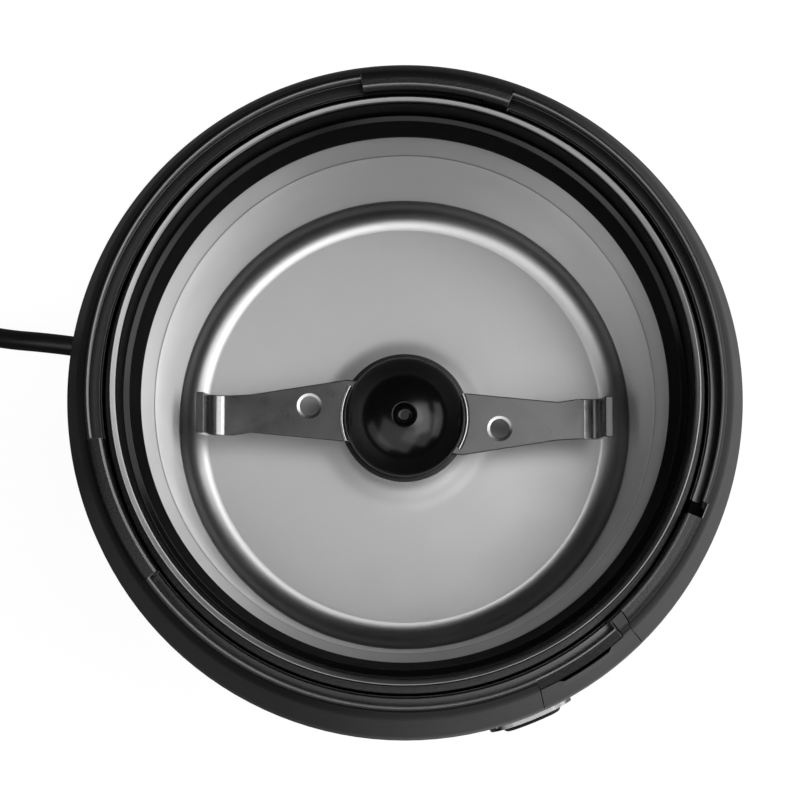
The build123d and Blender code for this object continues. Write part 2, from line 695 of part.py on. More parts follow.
plunger_r = 0.7
pulse_switch_face_r = 37.6
with BuildPart() as pulse_switch:
    block_out(button_azimuth, 31.5, pulse_switch_face_r, 12.8, pulse_switch_z - 2.9, pulse_switch_z + 2.9)
    rod_out(button_azimuth, 35.5, pulse_switch_face_r + 1, plunger_r + 0.15, pulse_switch_z, mode=Mode.SUBTRACT)
    with BuildSketch(facing(button_azimuth, 28.0, pulse_switch_z)):
        with Locations((-5, 0), (0, 0), (5, 0)):
            Rectangle(0.6, 3.0)
    extrude(amount=3.5)
write(pulse_switch, "pulse_switch")

with BuildPart() as pulse_plunger:
    rod_out(button_azimuth, 36.8, 38.9, plunger_r, pulse_switch_z)
write(pulse_plunger, "pulse_plunger")

# ---------------------------------------------------------------- lid interlock

spring_low_z = 96.0
spring_high_z = 101.0
with BuildPart() as interlock_pin:
    block_out(pin_azimuth, pin_radius - 0.8, pin_radius + 0.8, 1.6, 102.0, 117.0)
    with Locations(on_circle(pin_radius, pin_azimuth)):
        disc(1.6, spring_high_z, 102.0)
        disc(0.75, 94.0, spring_high_z)
write(interlock_pin, "interlock_pin")

with BuildPart() as interlock_spring:
    add(Pos(*on_circle(pin_radius, pin_azimuth, spring_low_z))
        * spring_coil(1.3, 0.2, spring_high_z - spring_low_z, 4))
write(interlock_spring, "interlock_spring")

with BuildPart() as interlock_switch:
    block_out(pin_azimuth, 39.0, 44.0, 12.4, switch_low_z, switch_high_z)
    with Locations(on_circle(pin_radius, pin_azimuth)):
        disc(plunger_r + 0.15, switch_high_z - 2.5, switch_high_z, mode=Mode.SUBTRACT)
    for offset_x in [-4.6, 0, 4.6]:
        with BuildSketch(facing(pin_azimuth, 40.2, switch_low_z - 1.4)) as tab:
            with Locations((offset_x, 0)):
                Rectangle(2.6, 3.4)
        extrude(tab.sketch, amount=0.6)
write(interlock_switch, "interlock_switch")

with BuildPart() as interlock_plunger:
    with Locations(on_circle(pin_radius, pin_azimuth)):
        disc(plunger_r, switch_high_z - 1.2, switch_high_z + 1.0)
write(interlock_plunger, "interlock_plunger")

# ---------------------------------------------------------------- base

foot_azimuths = [45.0, 135.0, 225.0, 315.0]
foot_ring_r = 34.0
base_low_z = 2.5
base_high_z = 5.0
base_lip_z = 8.0
clamp_s = -9.0
clamp_length = 5.0
clamp_width = 17.0
clamp_height = 5.2
clamp_screw_y = 6.0
clamp_screw_r = 1.1
clamp_low_z = cord_z - cord_r
clamp_plane = Plane(origin=(*cord_wall_point, base_high_z), x_dir=boot_plane.z_dir, z_dir=(0, 0, 1))
clamp_seat = clamp_plane.offset(clamp_low_z - base_high_z)

with BuildPart() as base_cover:
    disc(41.9, base_low_z, base_high_z)
    wedge(40.4, 41.9, base_high_z, base_lip_z, 0, 360)
    block_out(cord_wall_azimuth, 39.0, 43.0, 15.0, base_high_z, base_lip_z, mode=Mode.SUBTRACT)
    for azimuth in screw_azimuths:
        with Locations(on_circle(screw_ring_r, azimuth)):
            disc(3.4, base_high_z, post_top_z)
            disc(1.5, base_low_z, post_top_z, mode=Mode.SUBTRACT)
            disc(3.1, base_low_z, 5.6, mode=Mode.SUBTRACT)
    for azimuth in foot_azimuths:
        with Locations(on_circle(foot_ring_r, azimuth)):
            disc(2.4, base_low_z, base_high_z, mode=Mode.SUBTRACT)
    with BuildSketch(Plane.XY.offset(base_low_z)):
        with PolarLocations(20.5, 20):
            SlotOverall(11.0, 2.4)
    extrude(amount=base_high_z - base_low_z, mode=Mode.SUBTRACT)
    with BuildSketch(clamp_plane):
        with Locations((clamp_s, 0)):
            Rectangle(clamp_length, clamp_width)
        with Locations((clamp_s, clamp_screw_y), (clamp_s, -clamp_screw_y)):
            Circle(clamp_screw_r, mode=Mode.SUBTRACT)
    extrude(amount=clamp_low_z - base_high_z)
write(base_cover, "base_cover")

with BuildPart() as base_screws:
    for azimuth in screw_azimuths:
        with Locations(on_circle(screw_ring_r, azimuth)):
            disc(2.9, 3.4, 5.6)
            disc(1.3, 5.6, 21.0)
            disc(1.0, 3.4, 4.6, mode=Mode.SUBTRACT)
write(base_screws, "base_screws")

with BuildPart() as rubber_feet:
    for azimuth in foot_azimuths:
        with Locations(on_circle(foot_ring_r, azimuth)):
            disc(5.5, 0, base_low_z)
            disc(2.4, base_low_z, base_high_z)
            disc(3.0, base_high_z, base_high_z + 1.5)
    fillet(rubber_feet.edges().group_by(Axis.Z)[0], 0.6)
write(rubber_feet, "rubber_feet")

with BuildPart() as terminal_block:
    with Locations((-32.5, -4.5, base_high_z)):
        Box(9.0, 17.0, 9.5, align=(Align.CENTER, Align.CENTER, Align.MIN))
    for place_y in [-8.5, -0.5]:
        with Locations((-32.5, place_y, 0)):
            disc(1.8, base_high_z + 6.0, base_high_z + 9.5, mode=Mode.SUBTRACT)
        with Locations((-32.5, place_y, base_high_z + 3.5)):
            Cylinder(1.4, 9.0, rotation=(0, 90, 0), mode=Mode.SUBTRACT)
write(terminal_block, "terminal_block")

with BuildPart() as suppression_capacitor:
    with Locations((34.0, -3.0, base_high_z)):
        Box(8.0, 17.5, 12.0, align=(Align.CENTER, Align.CENTER, Align.MIN))
    fillet(suppression_capacitor.edges().filter_by(Axis.Z), 1.0)
write(suppression_capacitor, "suppression_capacitor")

# ---------------------------------------------------------------- cord, from the inside to the plug

boot_tip_r = 2.7
boot_flange_r = 4.9
boot_neck_r = 4.0
boot_inner_s = -6.1
boot_neck_s = -4.1
boot_collar_s = 1.1
with BuildPart() as strain_relief:
    with BuildSketch(boot_plane.offset(boot_inner_s)):
        Circle(boot_flange_r)
    extrude(amount=boot_neck_s - boot_inner_s)
    with BuildSketch(boot_plane.offset(boot_neck_s)):
        Circle(boot_neck_r)
    extrude(amount=boot_collar_s - boot_neck_s)
    with BuildSketch(boot_plane.offset(boot_collar_s)):
        Circle(boot_flange_r)
    with BuildSketch(boot_plane.offset(boot_out)):
        Circle(boot_tip_r)
    loft()
write(strain_relief, "strain_relief")

inner_end_s = -14.0
with BuildPart() as cord_inner:
    with BuildSketch(boot_plane.offset(inner_end_s)):
        Circle(cord_r)
    extrude(amount=boot_inner_s - inner_end_s)
write(cord_inner, "cord_inner")

with BuildPart() as cord_clamp:
    with BuildSketch(clamp_seat):
        with Locations((clamp_s, 0)):
            Rectangle(clamp_length, clamp_width)
        with Locations((clamp_s, clamp_screw_y), (clamp_s, -clamp_screw_y)):
            Circle(clamp_screw_r, mode=Mode.SUBTRACT)
    extrude(amount=clamp_height)
    with BuildSketch(boot_plane.offset(clamp_s - clamp_length)):
        Circle(cord_r)
    extrude(amount=2 * clamp_length, mode=Mode.SUBTRACT)
    with BuildSketch(clamp_seat):
        with Locations((clamp_s, 0)):
            Rectangle(clamp_length + 1, cord_d)
    extrude(amount=cord_r, mode=Mode.SUBTRACT)
write(cord_clamp, "cord_clamp")

with BuildPart() as clamp_screws:
    for side in [1, -1]:
        with BuildSketch(clamp_plane):
            with Locations((clamp_s, side * clamp_screw_y)):
                Circle(clamp_screw_r)
        extrude(amount=clamp_low_z - base_high_z + clamp_height)
        with BuildSketch(clamp_seat.offset(clamp_height)):
            with Locations((clamp_s, side * clamp_screw_y)):
                Circle(2.0)
        extrude(amount=1.2)
write(clamp_screws, "clamp_screws")

boot_end = boot_plane.offset(boot_out).origin
first_bend = boot_plane.offset(boot_out + 7.5).origin
lead_points = [
    (boot_end.X, boot_end.Y, boot_end.Z),
    (first_bend.X, first_bend.Y, first_bend.Z),
    (-73.2, 20.5, 7.6),
    (-82.4, 22.8, 3.8),
    (-92.0, 26.0, cord_r),
    (-101.5, 27.6, cord_r),
]
tail_points = [
    tail_start,
    (plug_entry[0] + 7.5, plug_entry[1], plug_entry[2]),
    plug_entry,
]


def arc_radii(points):
    """The radius of each bend of a route: 0.45 of the shorter run over the tangent of half the turn."""
    radii = []
    for before, corner, after in zip(points, points[1:], points[2:]):
        run_in = Vector(*corner) - Vector(*before)
        run_out = Vector(*after) - Vector(*corner)
        half_turn = radians(run_in.get_angle(run_out)) / 2
        radii.append(0.45 * min(run_in.length, run_out.length) / tan(half_turn))
    return radii


def route_tube(points, name):
    """A plain tube along a route, with a line printed about its bends, length and volume."""
    radii = arc_radii(points)
    with BuildPart() as tube:
        with BuildLine() as path:
            FilletPolyline(*points, radius=radii)
        with BuildSketch(Plane(origin=path.line @ 0, z_dir=path.line % 0)):
            Circle(cord_r)
        sweep(transition=Transition.ROUND)
    length = sum(edge.length for edge in path.edges())
    print(name, "radii", [round(radius, 1) for radius in radii], "length", round(length, 1),
          "volume over section times length", round(tube.part.volume / (pi * cord_r ** 2 * length), 4))
    return tube.part


with BuildPart() as cord_lead:
    add(route_tube(lead_points, "cord_lead"))
write(cord_lead, "cord_lead")

with BuildPart() as cord_tail:
    add(route_tube(tail_points, "cord_tail"))
write(cord_tail, "cord_tail")

lead_run = Vector(*lead_points[-1]) - Vector(*lead_points[-2])
tail_run = Vector(*tail_points[1]) - Vector(*tail_points[0])
coil_inner_r = coil_inner_turn_r - cord_r
coil_outer_r = coil_outer_turn_r + cord_r
coil_high_z = coil_top_z + cord_r
with BuildPart() as cord_coil:
    with BuildSketch(Plane(origin=(*coil_centre, 0), x_dir=(1, 0, 0), z_dir=(0, -1, 0))):
        with BuildLine():
            Polyline((coil_inner_r, 0), (coil_outer_r, 0), (coil_outer_r, coil_high_z - 1.0),
                     (coil_outer_r - 1.0, coil_high_z), (coil_inner_r + 1.0, coil_high_z),
                     (coil_inner_r, coil_high_z - 1.0), close=True)
        make_face()
    revolve(axis=Axis((*coil_centre, 0), (0, 0, 1)))
    with BuildSketch(Plane(origin=lead_points[-1], z_dir=lead_run)):
        Circle(cord_r)
    extrude(amount=9)
    with BuildSketch(Plane(origin=tail_points[0], z_dir=tail_run * -1)):
        Circle(cord_r)
    extrude(amount=12)
write(cord_coil, "cord_coil")

pin_pitch = 18.6
sleeve_length = 11.5
body_length = 33.0
plug_plane = Plane(origin=plug_entry, x_dir=(0, 1, 0), z_dir=(-1, 0, 0))
with BuildPart() as plug_body:
    with BuildSketch(plug_plane):
        Circle(2.6)
    with BuildSketch(plug_plane.offset(sleeve_length)):
        Circle(4.6)
    loft()
    with BuildSketch(plug_plane.offset(sleeve_length)):
        RectangleRounded(15.0, 10.0, 4.5)
    with BuildSketch(plug_plane.offset(sleeve_length + 14.0)):
        RectangleRounded(34.0, 13.0, 5.5)
    loft()
    with BuildSketch(plug_plane.offset(sleeve_length + 14.0)):
        RectangleRounded(34.0, 13.0, 5.5)
    extrude(amount=body_length - 14.0)
write(plug_body, "plug_body")

with BuildPart() as plug_pins:
    with BuildSketch(plug_plane.offset(sleeve_length + body_length)):
        with Locations((pin_pitch / 2, 0), (-pin_pitch / 2, 0)):
            Circle(2.0)
    extrude(amount=19.0)
    fillet(plug_pins.edges().group_by(Axis.X)[0], 1.2)
write(plug_pins, "plug_pins")
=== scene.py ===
# %% [markdown]
# # A blade spice grinder, dressed for its picture
#
# The grinder stands on a table with its lid off, seen from almost straight above. Its solid parts come
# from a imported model; this file gives them their finish, makes the pieces whose edges and curves need
# more than plain solids, and sets up the camera and the lights. Lengths in the shape functions are
# millimetres, as on a drawing, and become metres when a mesh is made. The camera, the table and the
# lamps are placed in metres.

import json

import bmesh
import bpy
import numpy as np
from math import radians
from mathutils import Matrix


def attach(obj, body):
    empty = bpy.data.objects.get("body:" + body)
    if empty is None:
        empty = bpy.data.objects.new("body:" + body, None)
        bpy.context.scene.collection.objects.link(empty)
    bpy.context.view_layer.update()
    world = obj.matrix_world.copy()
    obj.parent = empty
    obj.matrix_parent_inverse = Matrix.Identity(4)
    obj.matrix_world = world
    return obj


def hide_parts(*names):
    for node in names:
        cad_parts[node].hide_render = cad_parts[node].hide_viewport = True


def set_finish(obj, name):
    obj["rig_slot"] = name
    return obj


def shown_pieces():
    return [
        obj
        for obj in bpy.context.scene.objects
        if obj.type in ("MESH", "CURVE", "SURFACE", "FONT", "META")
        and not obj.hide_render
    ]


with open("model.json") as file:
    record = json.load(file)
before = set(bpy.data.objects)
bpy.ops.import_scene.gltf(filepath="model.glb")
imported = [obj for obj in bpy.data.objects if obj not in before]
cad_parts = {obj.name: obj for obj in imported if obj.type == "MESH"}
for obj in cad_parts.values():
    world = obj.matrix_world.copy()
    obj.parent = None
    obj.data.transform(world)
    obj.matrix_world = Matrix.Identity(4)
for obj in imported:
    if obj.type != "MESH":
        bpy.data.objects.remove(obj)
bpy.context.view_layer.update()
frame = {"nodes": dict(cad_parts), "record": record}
parts = frame["nodes"]
MM = 0.001
print("solid parts:", len(parts))

# %% [markdown]
# ## The camera
#
# A long lens hangs a forearm's length over the rim, a little towards the front, and tips back by a
# little over five and a half degrees. That leaves the far side of the rim its full width and slides
# each deeper circle towards the front of the picture, as in a tube that is looked into.

# %% Place the camera
camera_place = (-0.0007, -0.03255, 0.43336)
camera_tilt = (5.62, 0.0, 0.0)
lens_mm = 105.35
sensor_mm = 36.0
nearest = 0.01

camera_data = bpy.data.cameras.new("camera")
camera_data.lens = lens_mm
camera_data.sensor_width = sensor_mm
camera_data.clip_start = nearest
camera = bpy.data.objects.new("camera", camera_data)
camera.location = camera_place
camera.rotation_euler = np.radians(camera_tilt)
bpy.context.scene.collection.objects.link(camera)
bpy.context.scene.camera = camera

# %% [markdown]
# ## The mains cord
#
# A cord is a fixed length of something flexible. It leaves its rubber boot, drops to the table, and the
# length that isn't needed is wound in a neat coil: three turns on the table, and two back outwards on top
# of them. One smooth spline carries all of it, so nothing looks like bent wire. Its points carry the
# cord's radius, and the bevel is one, so that the curve's box is no larger than the cord. The turns'
# control points stand slightly outside the real turns, because such a spline cuts its corners.

# %% Lay the cord
cord_diameter = 3.6
on_table, on_turns = cord_diameter / 2, 1.5 * cord_diameter
boot_heading, boot_reach, straight_out = radians(172.0), 15.0, 7.5
boot_axis = np.array([np.cos(boot_heading), np.sin(boot_heading), 0.0])
wall_point = np.array([-41.9, 16.4, 10.0])
boot_end = wall_point + boot_reach * boot_axis
plug_place = (-150.5, 28.2, 6.85)
lead_route = [boot_end, boot_end + straight_out * boot_axis, (-73.2, 20.5, 7.6), (-82.4, 22.8, 3.8),
              (-92.0, 26.0, on_table), (-101.5, 27.6, on_table)]
tail_route = [(-136.0, 28.2, on_turns), (-143.0, 28.2, 6.85), plug_place]
coil_centre = (-120.0, 1.0)
first_r, inner_r, last_r = 27.6, 16.5, 27.2
turns_down, turns_up = 3.0, 2.0
climb_from, climb_to = 2.75, 3.1
points_per_turn = 16

all_turns = turns_down + turns_up
turn = np.arange(0.0, all_turns, 1 / points_per_turn)
turn_radius = np.interp(turn, [0, turns_down, all_turns], [first_r, inner_r, last_r])
turn_height = np.interp(turn, [0, climb_from, climb_to, all_turns], [on_table, on_table, on_turns, on_turns])
turn_angle = np.pi / 2 + 2 * np.pi * turn
outset = 1 / np.cos(np.pi / points_per_turn)
coil_route = np.stack([coil_centre[0] + outset * turn_radius * np.cos(turn_angle),
                       coil_centre[1] + outset * turn_radius * np.sin(turn_angle), turn_height], axis=1)

route = np.vstack([lead_route, coil_route, tail_route]) * MM
cord_curve = bpy.data.curves.new("mains_cord", "CURVE")
cord_curve.dimensions = "3D"
spline = cord_curve.splines.new("NURBS")
spline.points.add(len(route) - 1)
spline.points.foreach_set("co", np.hstack([route, np.ones((len(route), 1))]).ravel())
spline.points.foreach_set("radius", np.full(len(route), cord_diameter / 2 * MM))
spline.order_u = 3
spline.use_endpoint_u = True
spline.resolution_u = 6
cord_curve.bevel_depth = 1.0
cord_curve.bevel_resolution = 5
cord_curve.use_fill_caps = True
mains_cord = bpy.data.objects.new("mains_cord", cord_curve)
bpy.context.scene.collection.objects.link(mains_cord)
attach(mains_cord, "housing")
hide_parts("cord_lead", "cord_coil", "cord_tail")
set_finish(mains_cord, "cord_pvc")
print("cord points:", len(route))

# %% [markdown]
# ## Turning grids of points into meshes
#
# Nearly every new piece here is a turned or moulded part. Its surface is a grid: one direction runs
# along a profile, the other round the axis. Whole arrays of points are worked out at once and handed to
# the mesh in one go. Doubled points at poles and seams are merged, and the faces turned outwards.


# %% Grid and profile helpers
def grid_piece(name, points, wrap_rows=False, wrap_columns=False, caps=False, sharp=40.0, zones=None):
    """Joins a grid of points (rows, columns, 3) in millimetres into four-sided faces and makes the piece.

    Point (i, j) is vertex i * columns + j, and each face runs (i, j), (i, j+1), (i+1, j+1), (i+1, j).
    With caps, the first and the last column are closed by a face each. zones gives each row of faces the
    number of its material."""
    rows, columns = points.shape[:2]
    i = np.arange(rows if wrap_rows else rows - 1)[:, None]
    j = np.arange(columns if wrap_columns else columns - 1)[None, :]
    below, right = (i + 1) % rows, (j + 1) % columns
    faces = np.stack([i * columns + j, i * columns + right, below * columns + right, below * columns + j],
                     axis=-1).reshape(-1, 4)
    mesh = bpy.data.meshes.new(name)
    mesh.from_pydata((points.reshape(-1, 3) * MM).tolist(), [], faces.tolist())
    if zones is not None:
        face_zones = np.repeat(zones, len(faces) // len(zones)).astype(np.int32)
        mesh.polygons.foreach_set("material_index", face_zones)
    shape = bmesh.new()
    shape.from_mesh(mesh)
    shape.verts.ensure_lookup_table()
    if caps:
        for column in (0, columns - 1):
            shape.faces.new([shape.verts[row * columns + column] for row in range(rows)])
    bmesh.ops.remove_doubles(shape, verts=shape.verts, dist=2e-6)
    bmesh.ops.dissolve_degenerate(shape, edges=shape.edges, dist=1e-6)
    bmesh.ops.recalc_face_normals(shape, faces=shape.faces)
    shape.to_mesh(mesh)
    shape.free()
    mesh.shade_smooth()
    mesh.set_sharp_from_angle(angle=radians(sharp))
    piece = bpy.data.objects.new(name, mesh)
    bpy.context.scene.collection.objects.link(piece)
    print(name, "faces:", len(mesh.polygons))
    return piece


def rounded(corners, cuts, steps=4, closed=True):
    """Rounds the corners of a profile: each corner gives way to a parabola between two points cut back
    along its two sides, p(t) = (1-t)^2 a + 2t(1-t) c + t^2 b, with one more point on each side so that
    flat walls stay flat when shaded. corners is (n, 2) or (n, columns, 2); cuts is one number each."""
    longest_share, run_on, tiny = 0.42, 0.12, 1e-9
    corners = np.asarray(corners, float)
    cuts = np.asarray(cuts, float)
    if corners.ndim == 2:
        corners = corners[:, None, :]
    if cuts.ndim == 1:
        cuts = cuts[:, None]
    before, after = np.roll(corners, 1, axis=0), np.roll(corners, -1, axis=0)
    if not closed:
        before[0], after[-1] = corners[0], corners[-1]
    way_in, way_out = before - corners, after - corners
    long_in = np.linalg.norm(way_in, axis=-1, keepdims=True)
    long_out = np.linalg.norm(way_out, axis=-1, keepdims=True)
    cut = np.minimum(np.minimum(cuts[..., None], longest_share * long_in), longest_share * long_out)
    a = corners + way_in / np.maximum(long_in, tiny) * cut
    b = corners + way_out / np.maximum(long_out, tiny) * cut
    t = np.linspace(0, 1, steps + 1)[None, :, None, None]
    a, b, c = a[:, None], b[:, None], corners[:, None]
    arc = (1 - t) ** 2 * a + 2 * t * (1 - t) * c + t ** 2 * b
    grid = np.concatenate([a + run_on * (a - c), arc, b + run_on * (b - c)], axis=1)
    return grid.reshape(-1, corners.shape[1], 2)


def turned_piece(name, profile, columns=360, closed=True, zone_of=None):
    """Spins a profile of (radius, height) points round the axis: x = r cos a, y = r sin a, z = height.
    zone_of(radius, height) names the material of each row of faces from the row's middle."""
    profile = np.asarray(profile, float).reshape(-1, 2)
    angle = np.linspace(0, 2 * np.pi, columns, endpoint=False)
    points = np.stack([profile[:, :1] * np.cos(angle), profile[:, :1] * np.sin(angle),
                       np.repeat(profile[:, 1:], columns, axis=1)], axis=-1)
    zones = None
    if zone_of:
        ends = np.roll(profile, -1, axis=0) if closed else profile[1:]
        middle = (profile[:len(ends)] + ends) / 2
        zones = zone_of(middle[:, 0], middle[:, 1])
    return grid_piece(name, points, wrap_rows=closed, wrap_columns=True, zones=zones)


def stand_for(piece, body, *replaced, slot=None):
    """Makes a piece ride on its body in place of its plain solids, with the finish of its slot."""
    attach(piece, body)
    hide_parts(*replaced)
    if slot:
        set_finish(piece, slot)
    return piece


# %% [markdown]
# ## The bowl
#
# The bowl is one sheet of stainless steel, pressed and then spun: a flat flange on top, a short cone, a
# fine line where the straight wall starts, a tight corner into the floor, and a low boss round the shaft.
# The corner is what draws the bright and the dark ring in the picture, so it is a true quarter round
# with many points, worked out as an arc and not as a chamfer. The spinning tool polishes it smoother than
# the floor, and it is painted a lighter grey as a painted highlight for the bright ring; the wall and the
# cone are painted lighter still as painted light, and the fill line darker as painted shade, while the
# floor and the wall keep a satin grind, so each row of faces knows which of five zones it is in.

# %% Spin the bowl
bowl_floor, bowl_wall_r, bowl_corner, sheet = 61.5, 35.5, 4.1, 0.7
corner_top, corner_inner_r = bowl_floor + bowl_corner, bowl_wall_r - bowl_corner
flange_r, flange_z = 40.3, 106.6
fill_line_low, fill_line_high = 99.3, 99.62
boss_top, boss_top_r, boss_foot_r, shaft_hole_r = bowl_floor + 0.35, 10.9, 13.2, 6.3
corner_angle = np.linspace(0, np.pi / 2, 22)


def corner_arc(radius):
    """A quarter round about the corner's centre, from the wall down to the floor."""
    return np.stack([corner_inner_r + radius * np.cos(corner_angle),
                     corner_top - radius * np.sin(corner_angle)], axis=1)


mouth = rounded([(flange_r, flange_z), (37.3, flange_z), (35.9, 99.65), (35.82, fill_line_low),
                 (35.67, 98.6)], [0.1, 0.45, 0.05, 0.05, 0.1], closed=False)[:, 0]
boss = rounded([(31.0, bowl_floor), (boss_foot_r, bowl_floor), (boss_top_r, boss_top),
                (shaft_hole_r, boss_top), (shaft_hole_r, boss_top - sheet), (boss_top_r, boss_top - sheet),
                (boss_foot_r, bowl_floor - sheet)],
               [0.0, 0.8, 0.8, 0.1, 0.1, 0.3, 0.3], closed=False)[7:, 0]
back = rounded([(36.45, 99.2), (37.8, flange_z - sheet), (flange_r, flange_z - sheet)],
               [0.1, 0.4, 0.1], closed=False)[:, 0]
wall = np.stack([np.linspace(35.65, bowl_wall_r, 12), np.linspace(98.0, corner_top + 0.1, 12)], axis=1)
floor = np.stack([np.linspace(corner_inner_r - 0.1, 14.4, 10), np.full(10, bowl_floor)], axis=1)
bowl_profile = np.vstack([mouth, wall, corner_arc(bowl_corner), floor, boss,
                          corner_arc(bowl_corner + sheet)[::-1], back])


def bowl_zone(radius, height):
    """0 on the floor, 1 in the corner, 2 on the wall, 3 on the cone above the fill line, 4 on the line."""
    line = (height > fill_line_low) & (height < fill_line_high) & (radius < 36.4)
    return np.select([line, height > fill_line_low, height > corner_top - 0.1, radius > corner_inner_r],
                     [4, 3, 2, 1], 0)


bowl = stand_for(turned_piece("steel_bowl", bowl_profile, zone_of=bowl_zone), "housing", "bowl",
                 slot="bowl_steel")

# %% [markdown]
# ## The collar
#
# A black ring is clamped over the bowl's flange, and the lid's skirt drops into the channel outside it,
# whose floor is a shoulder of the same ring. Its inner wall steps in slightly half way down, which splits
# every reflection on it in two. Only that step is glossy: the lip on top is painted a pale metal grey, a
# painted highlight; the walls are satin and painted a deeper black with a faint shine, painted shade; and
# the channel's floor has the body's grain, so faces take their finish from their place.

# %% Spin the collar
collar_seat_z, channel_z, step_z, lip_z, rim_z = 108.5, 114.0, 113.1, 119.6, 120.0
collar_profile = rounded([(37.0, 106.65), (44.1, 106.6), (44.1, collar_seat_z), (41.2, collar_seat_z),
                          (41.2, channel_z), (40.0, channel_z), (40.0, lip_z), (39.85, rim_z),
                          (38.98, 119.7), (38.75, step_z), (37.95, 112.8), (37.0, 107.3)],
                         [0.1, 0.1, 0.1, 0.1, 0.2, 0.2, 0.1, 0.2, 0.4, 0.1, 0.1, 0.2], steps=6)


def collar_zone(radius, height):
    """0 on the step half way down, 1 on the lip, 2 on the walls and 3 on the channel's floor."""
    step = (height > step_z - 0.4) & (height < step_z + 0.1) & (radius < 39)
    channel = (height > channel_z - 0.3) & (height < channel_z + 0.1) & (radius > 39.9)
    return np.select([step, height > lip_z, channel], [0, 1, 3], 2)


collar = stand_for(turned_piece("lid_collar", collar_profile, zone_of=collar_zone), "housing", "collar",
                   slot="gloss_plastic")

# %% [markdown]
# ## The top ring
#
# The shoulder and the lid's bayonet are one moulding. Going round it, the profile stays the same but for
# a few radii: the inner wall steps outwards at the three recesses that let the lid's lugs drop in, stays
# close under the three lands, and opens for the small slot of the lid switch. A fine bead edges the ledge
# below. A sector of the shoulder is a cover of its own, so there the outer skin steps inwards. Each of
# these is a gate, a function of the azimuth that is one inside its sector and zero outside, with a short
# soft flank. The rim's edge is painted a pale grey with a strong shine, a painted highlight; the recess
# walls are painted lighter than the rest of the black, painted light; and the ledge is smoother and also
# a little lighter and shinier, partly painted light, so the rows of faces that belong to those corners of
# the profile get finishes of their own.


# %% Helpers for sectors round the axis
def gate(azimuth, start, sweep, flank=0.35):
    """1 inside a sector and 0 outside it: the product of a rising and a falling smoothstep."""
    along = (azimuth - start + 180) % 360 - 180
    rise = np.clip(along / flank + 0.5, 0, 1)
    along = (azimuth - start - sweep + 180) % 360 - 180
    fall = np.clip(along / flank + 0.5, 0, 1)
    rise, fall = rise * rise * (3 - 2 * rise), fall * fall * (3 - 2 * fall)
    inside = (azimuth - start) % 360 < (sweep + 180) % 360
    return np.where(inside, rise, 0) * (1 - np.where((azimuth - start) % 360 < 180 + sweep, fall, 0))


def sector_columns(edges, coarse=1.0, flank=0.35):
    """Azimuths for a moulding's columns: every degree, and close together at the sectors' edges."""
    near = np.linspace(-0.6, 0.6, 9) * flank
    columns = np.concatenate([np.arange(0, 360, coarse)] + [edge + near for edge in edges]) % 360
    return np.unique(columns.round(4))


def mix(low, high, share):
    """low where share is 0 and high where it is 1, for numbers or for (radius, height) corners."""
    low, high = np.asarray(low, float), np.asarray(high, float)
    return low + (high - low) * (share[..., None] if low.ndim == 2 else share)


# %% Divide the ring into sectors
# Sectors are (start, sweep) in degrees, from the right-hand side round by the back.
recesses = [(338.0, 92.0), (98.0, 91.3), (216.5, 94.5)]
lug_tracks = [(75.0, 23.0), (193.0, 23.5), (314.5, 20.0)]
switch_slot = (336.03, 2.94)
cover_sector = (294.0, 19.9)
cover_tab = (311.2, 2.7)
cover_flank, bow, bow_r, bow_width, bow_reach = 0.12, 0.8, 44.4, 1.5, 2.0


def seam_bow(radius, azimuth):
    """The cover's right-hand seam bows back by most of a degree half way across the shoulder."""
    near = np.exp(-((azimuth - sum(cover_sector) + 180) % 360 - 180) ** 2 / bow_reach ** 2)
    return -bow * np.exp(-((radius - bow_r) / bow_width) ** 2) * near


def round_the_axis(name, profile, azimuth, **how):
    """Places each column of (radius, height) points at its azimuth and makes the piece."""
    radius, height = profile[..., 0], profile[..., 1]
    angle = np.radians(azimuth + seam_bow(radius, azimuth))
    points = np.stack([radius * np.cos(angle), radius * np.sin(angle), height], axis=-1)
    return grid_piece(name, points, **how)


edges = [edge for start, sweep in recesses + lug_tracks + [switch_slot, cover_sector, cover_tab]
         for edge in (start, start + sweep)]
around = sector_columns(edges)
recessed = sum(gate(around, *sector) for sector in recesses)
tracked = np.clip(recessed + sum(gate(around, *sector) for sector in lug_tracks), 0, 1)
slotted = gate(around, *switch_slot, 0.2)
covered = gate(around, *cover_sector, cover_flank)
tabbed = gate(around, *cover_tab, cover_flank)
print("columns round the ring:", len(around))

# %% Draw the ring's profile and mould it
land_under_z, ledge_z, seam_z, spigot_z, tab_seat_z = 117.4, 115.0, 104.0, 99.0, 117.6
skin_r, spigot_r, bore_r, slot_r, land_inner_r = 47.5, 45.0, 44.2, 43.6, 41.4
shoulder_high, shoulder_low = (45.49, 114.4), (47.35, 107.2)
cover_back_r, tab_seat_r = bore_r, 44.4
land_r = mix(mix(land_inner_r, 42.6, recessed), slot_r, slotted)
track_r = mix(mix(land_inner_r, 43.4, tracked), slot_r, slotted)
ledge_r = mix(land_inner_r, slot_r, slotted)
ledge_bead = recessed * (1 - slotted)
rim_top = mix(rim_z, tab_seat_z, tabbed)


def ring(radius, height, azimuth=around):
    """One corner of the profile, carried along the azimuths."""
    radius, height = np.broadcast_arrays(radius, height, azimuth)[:2]
    return np.stack([radius, height], axis=-1)


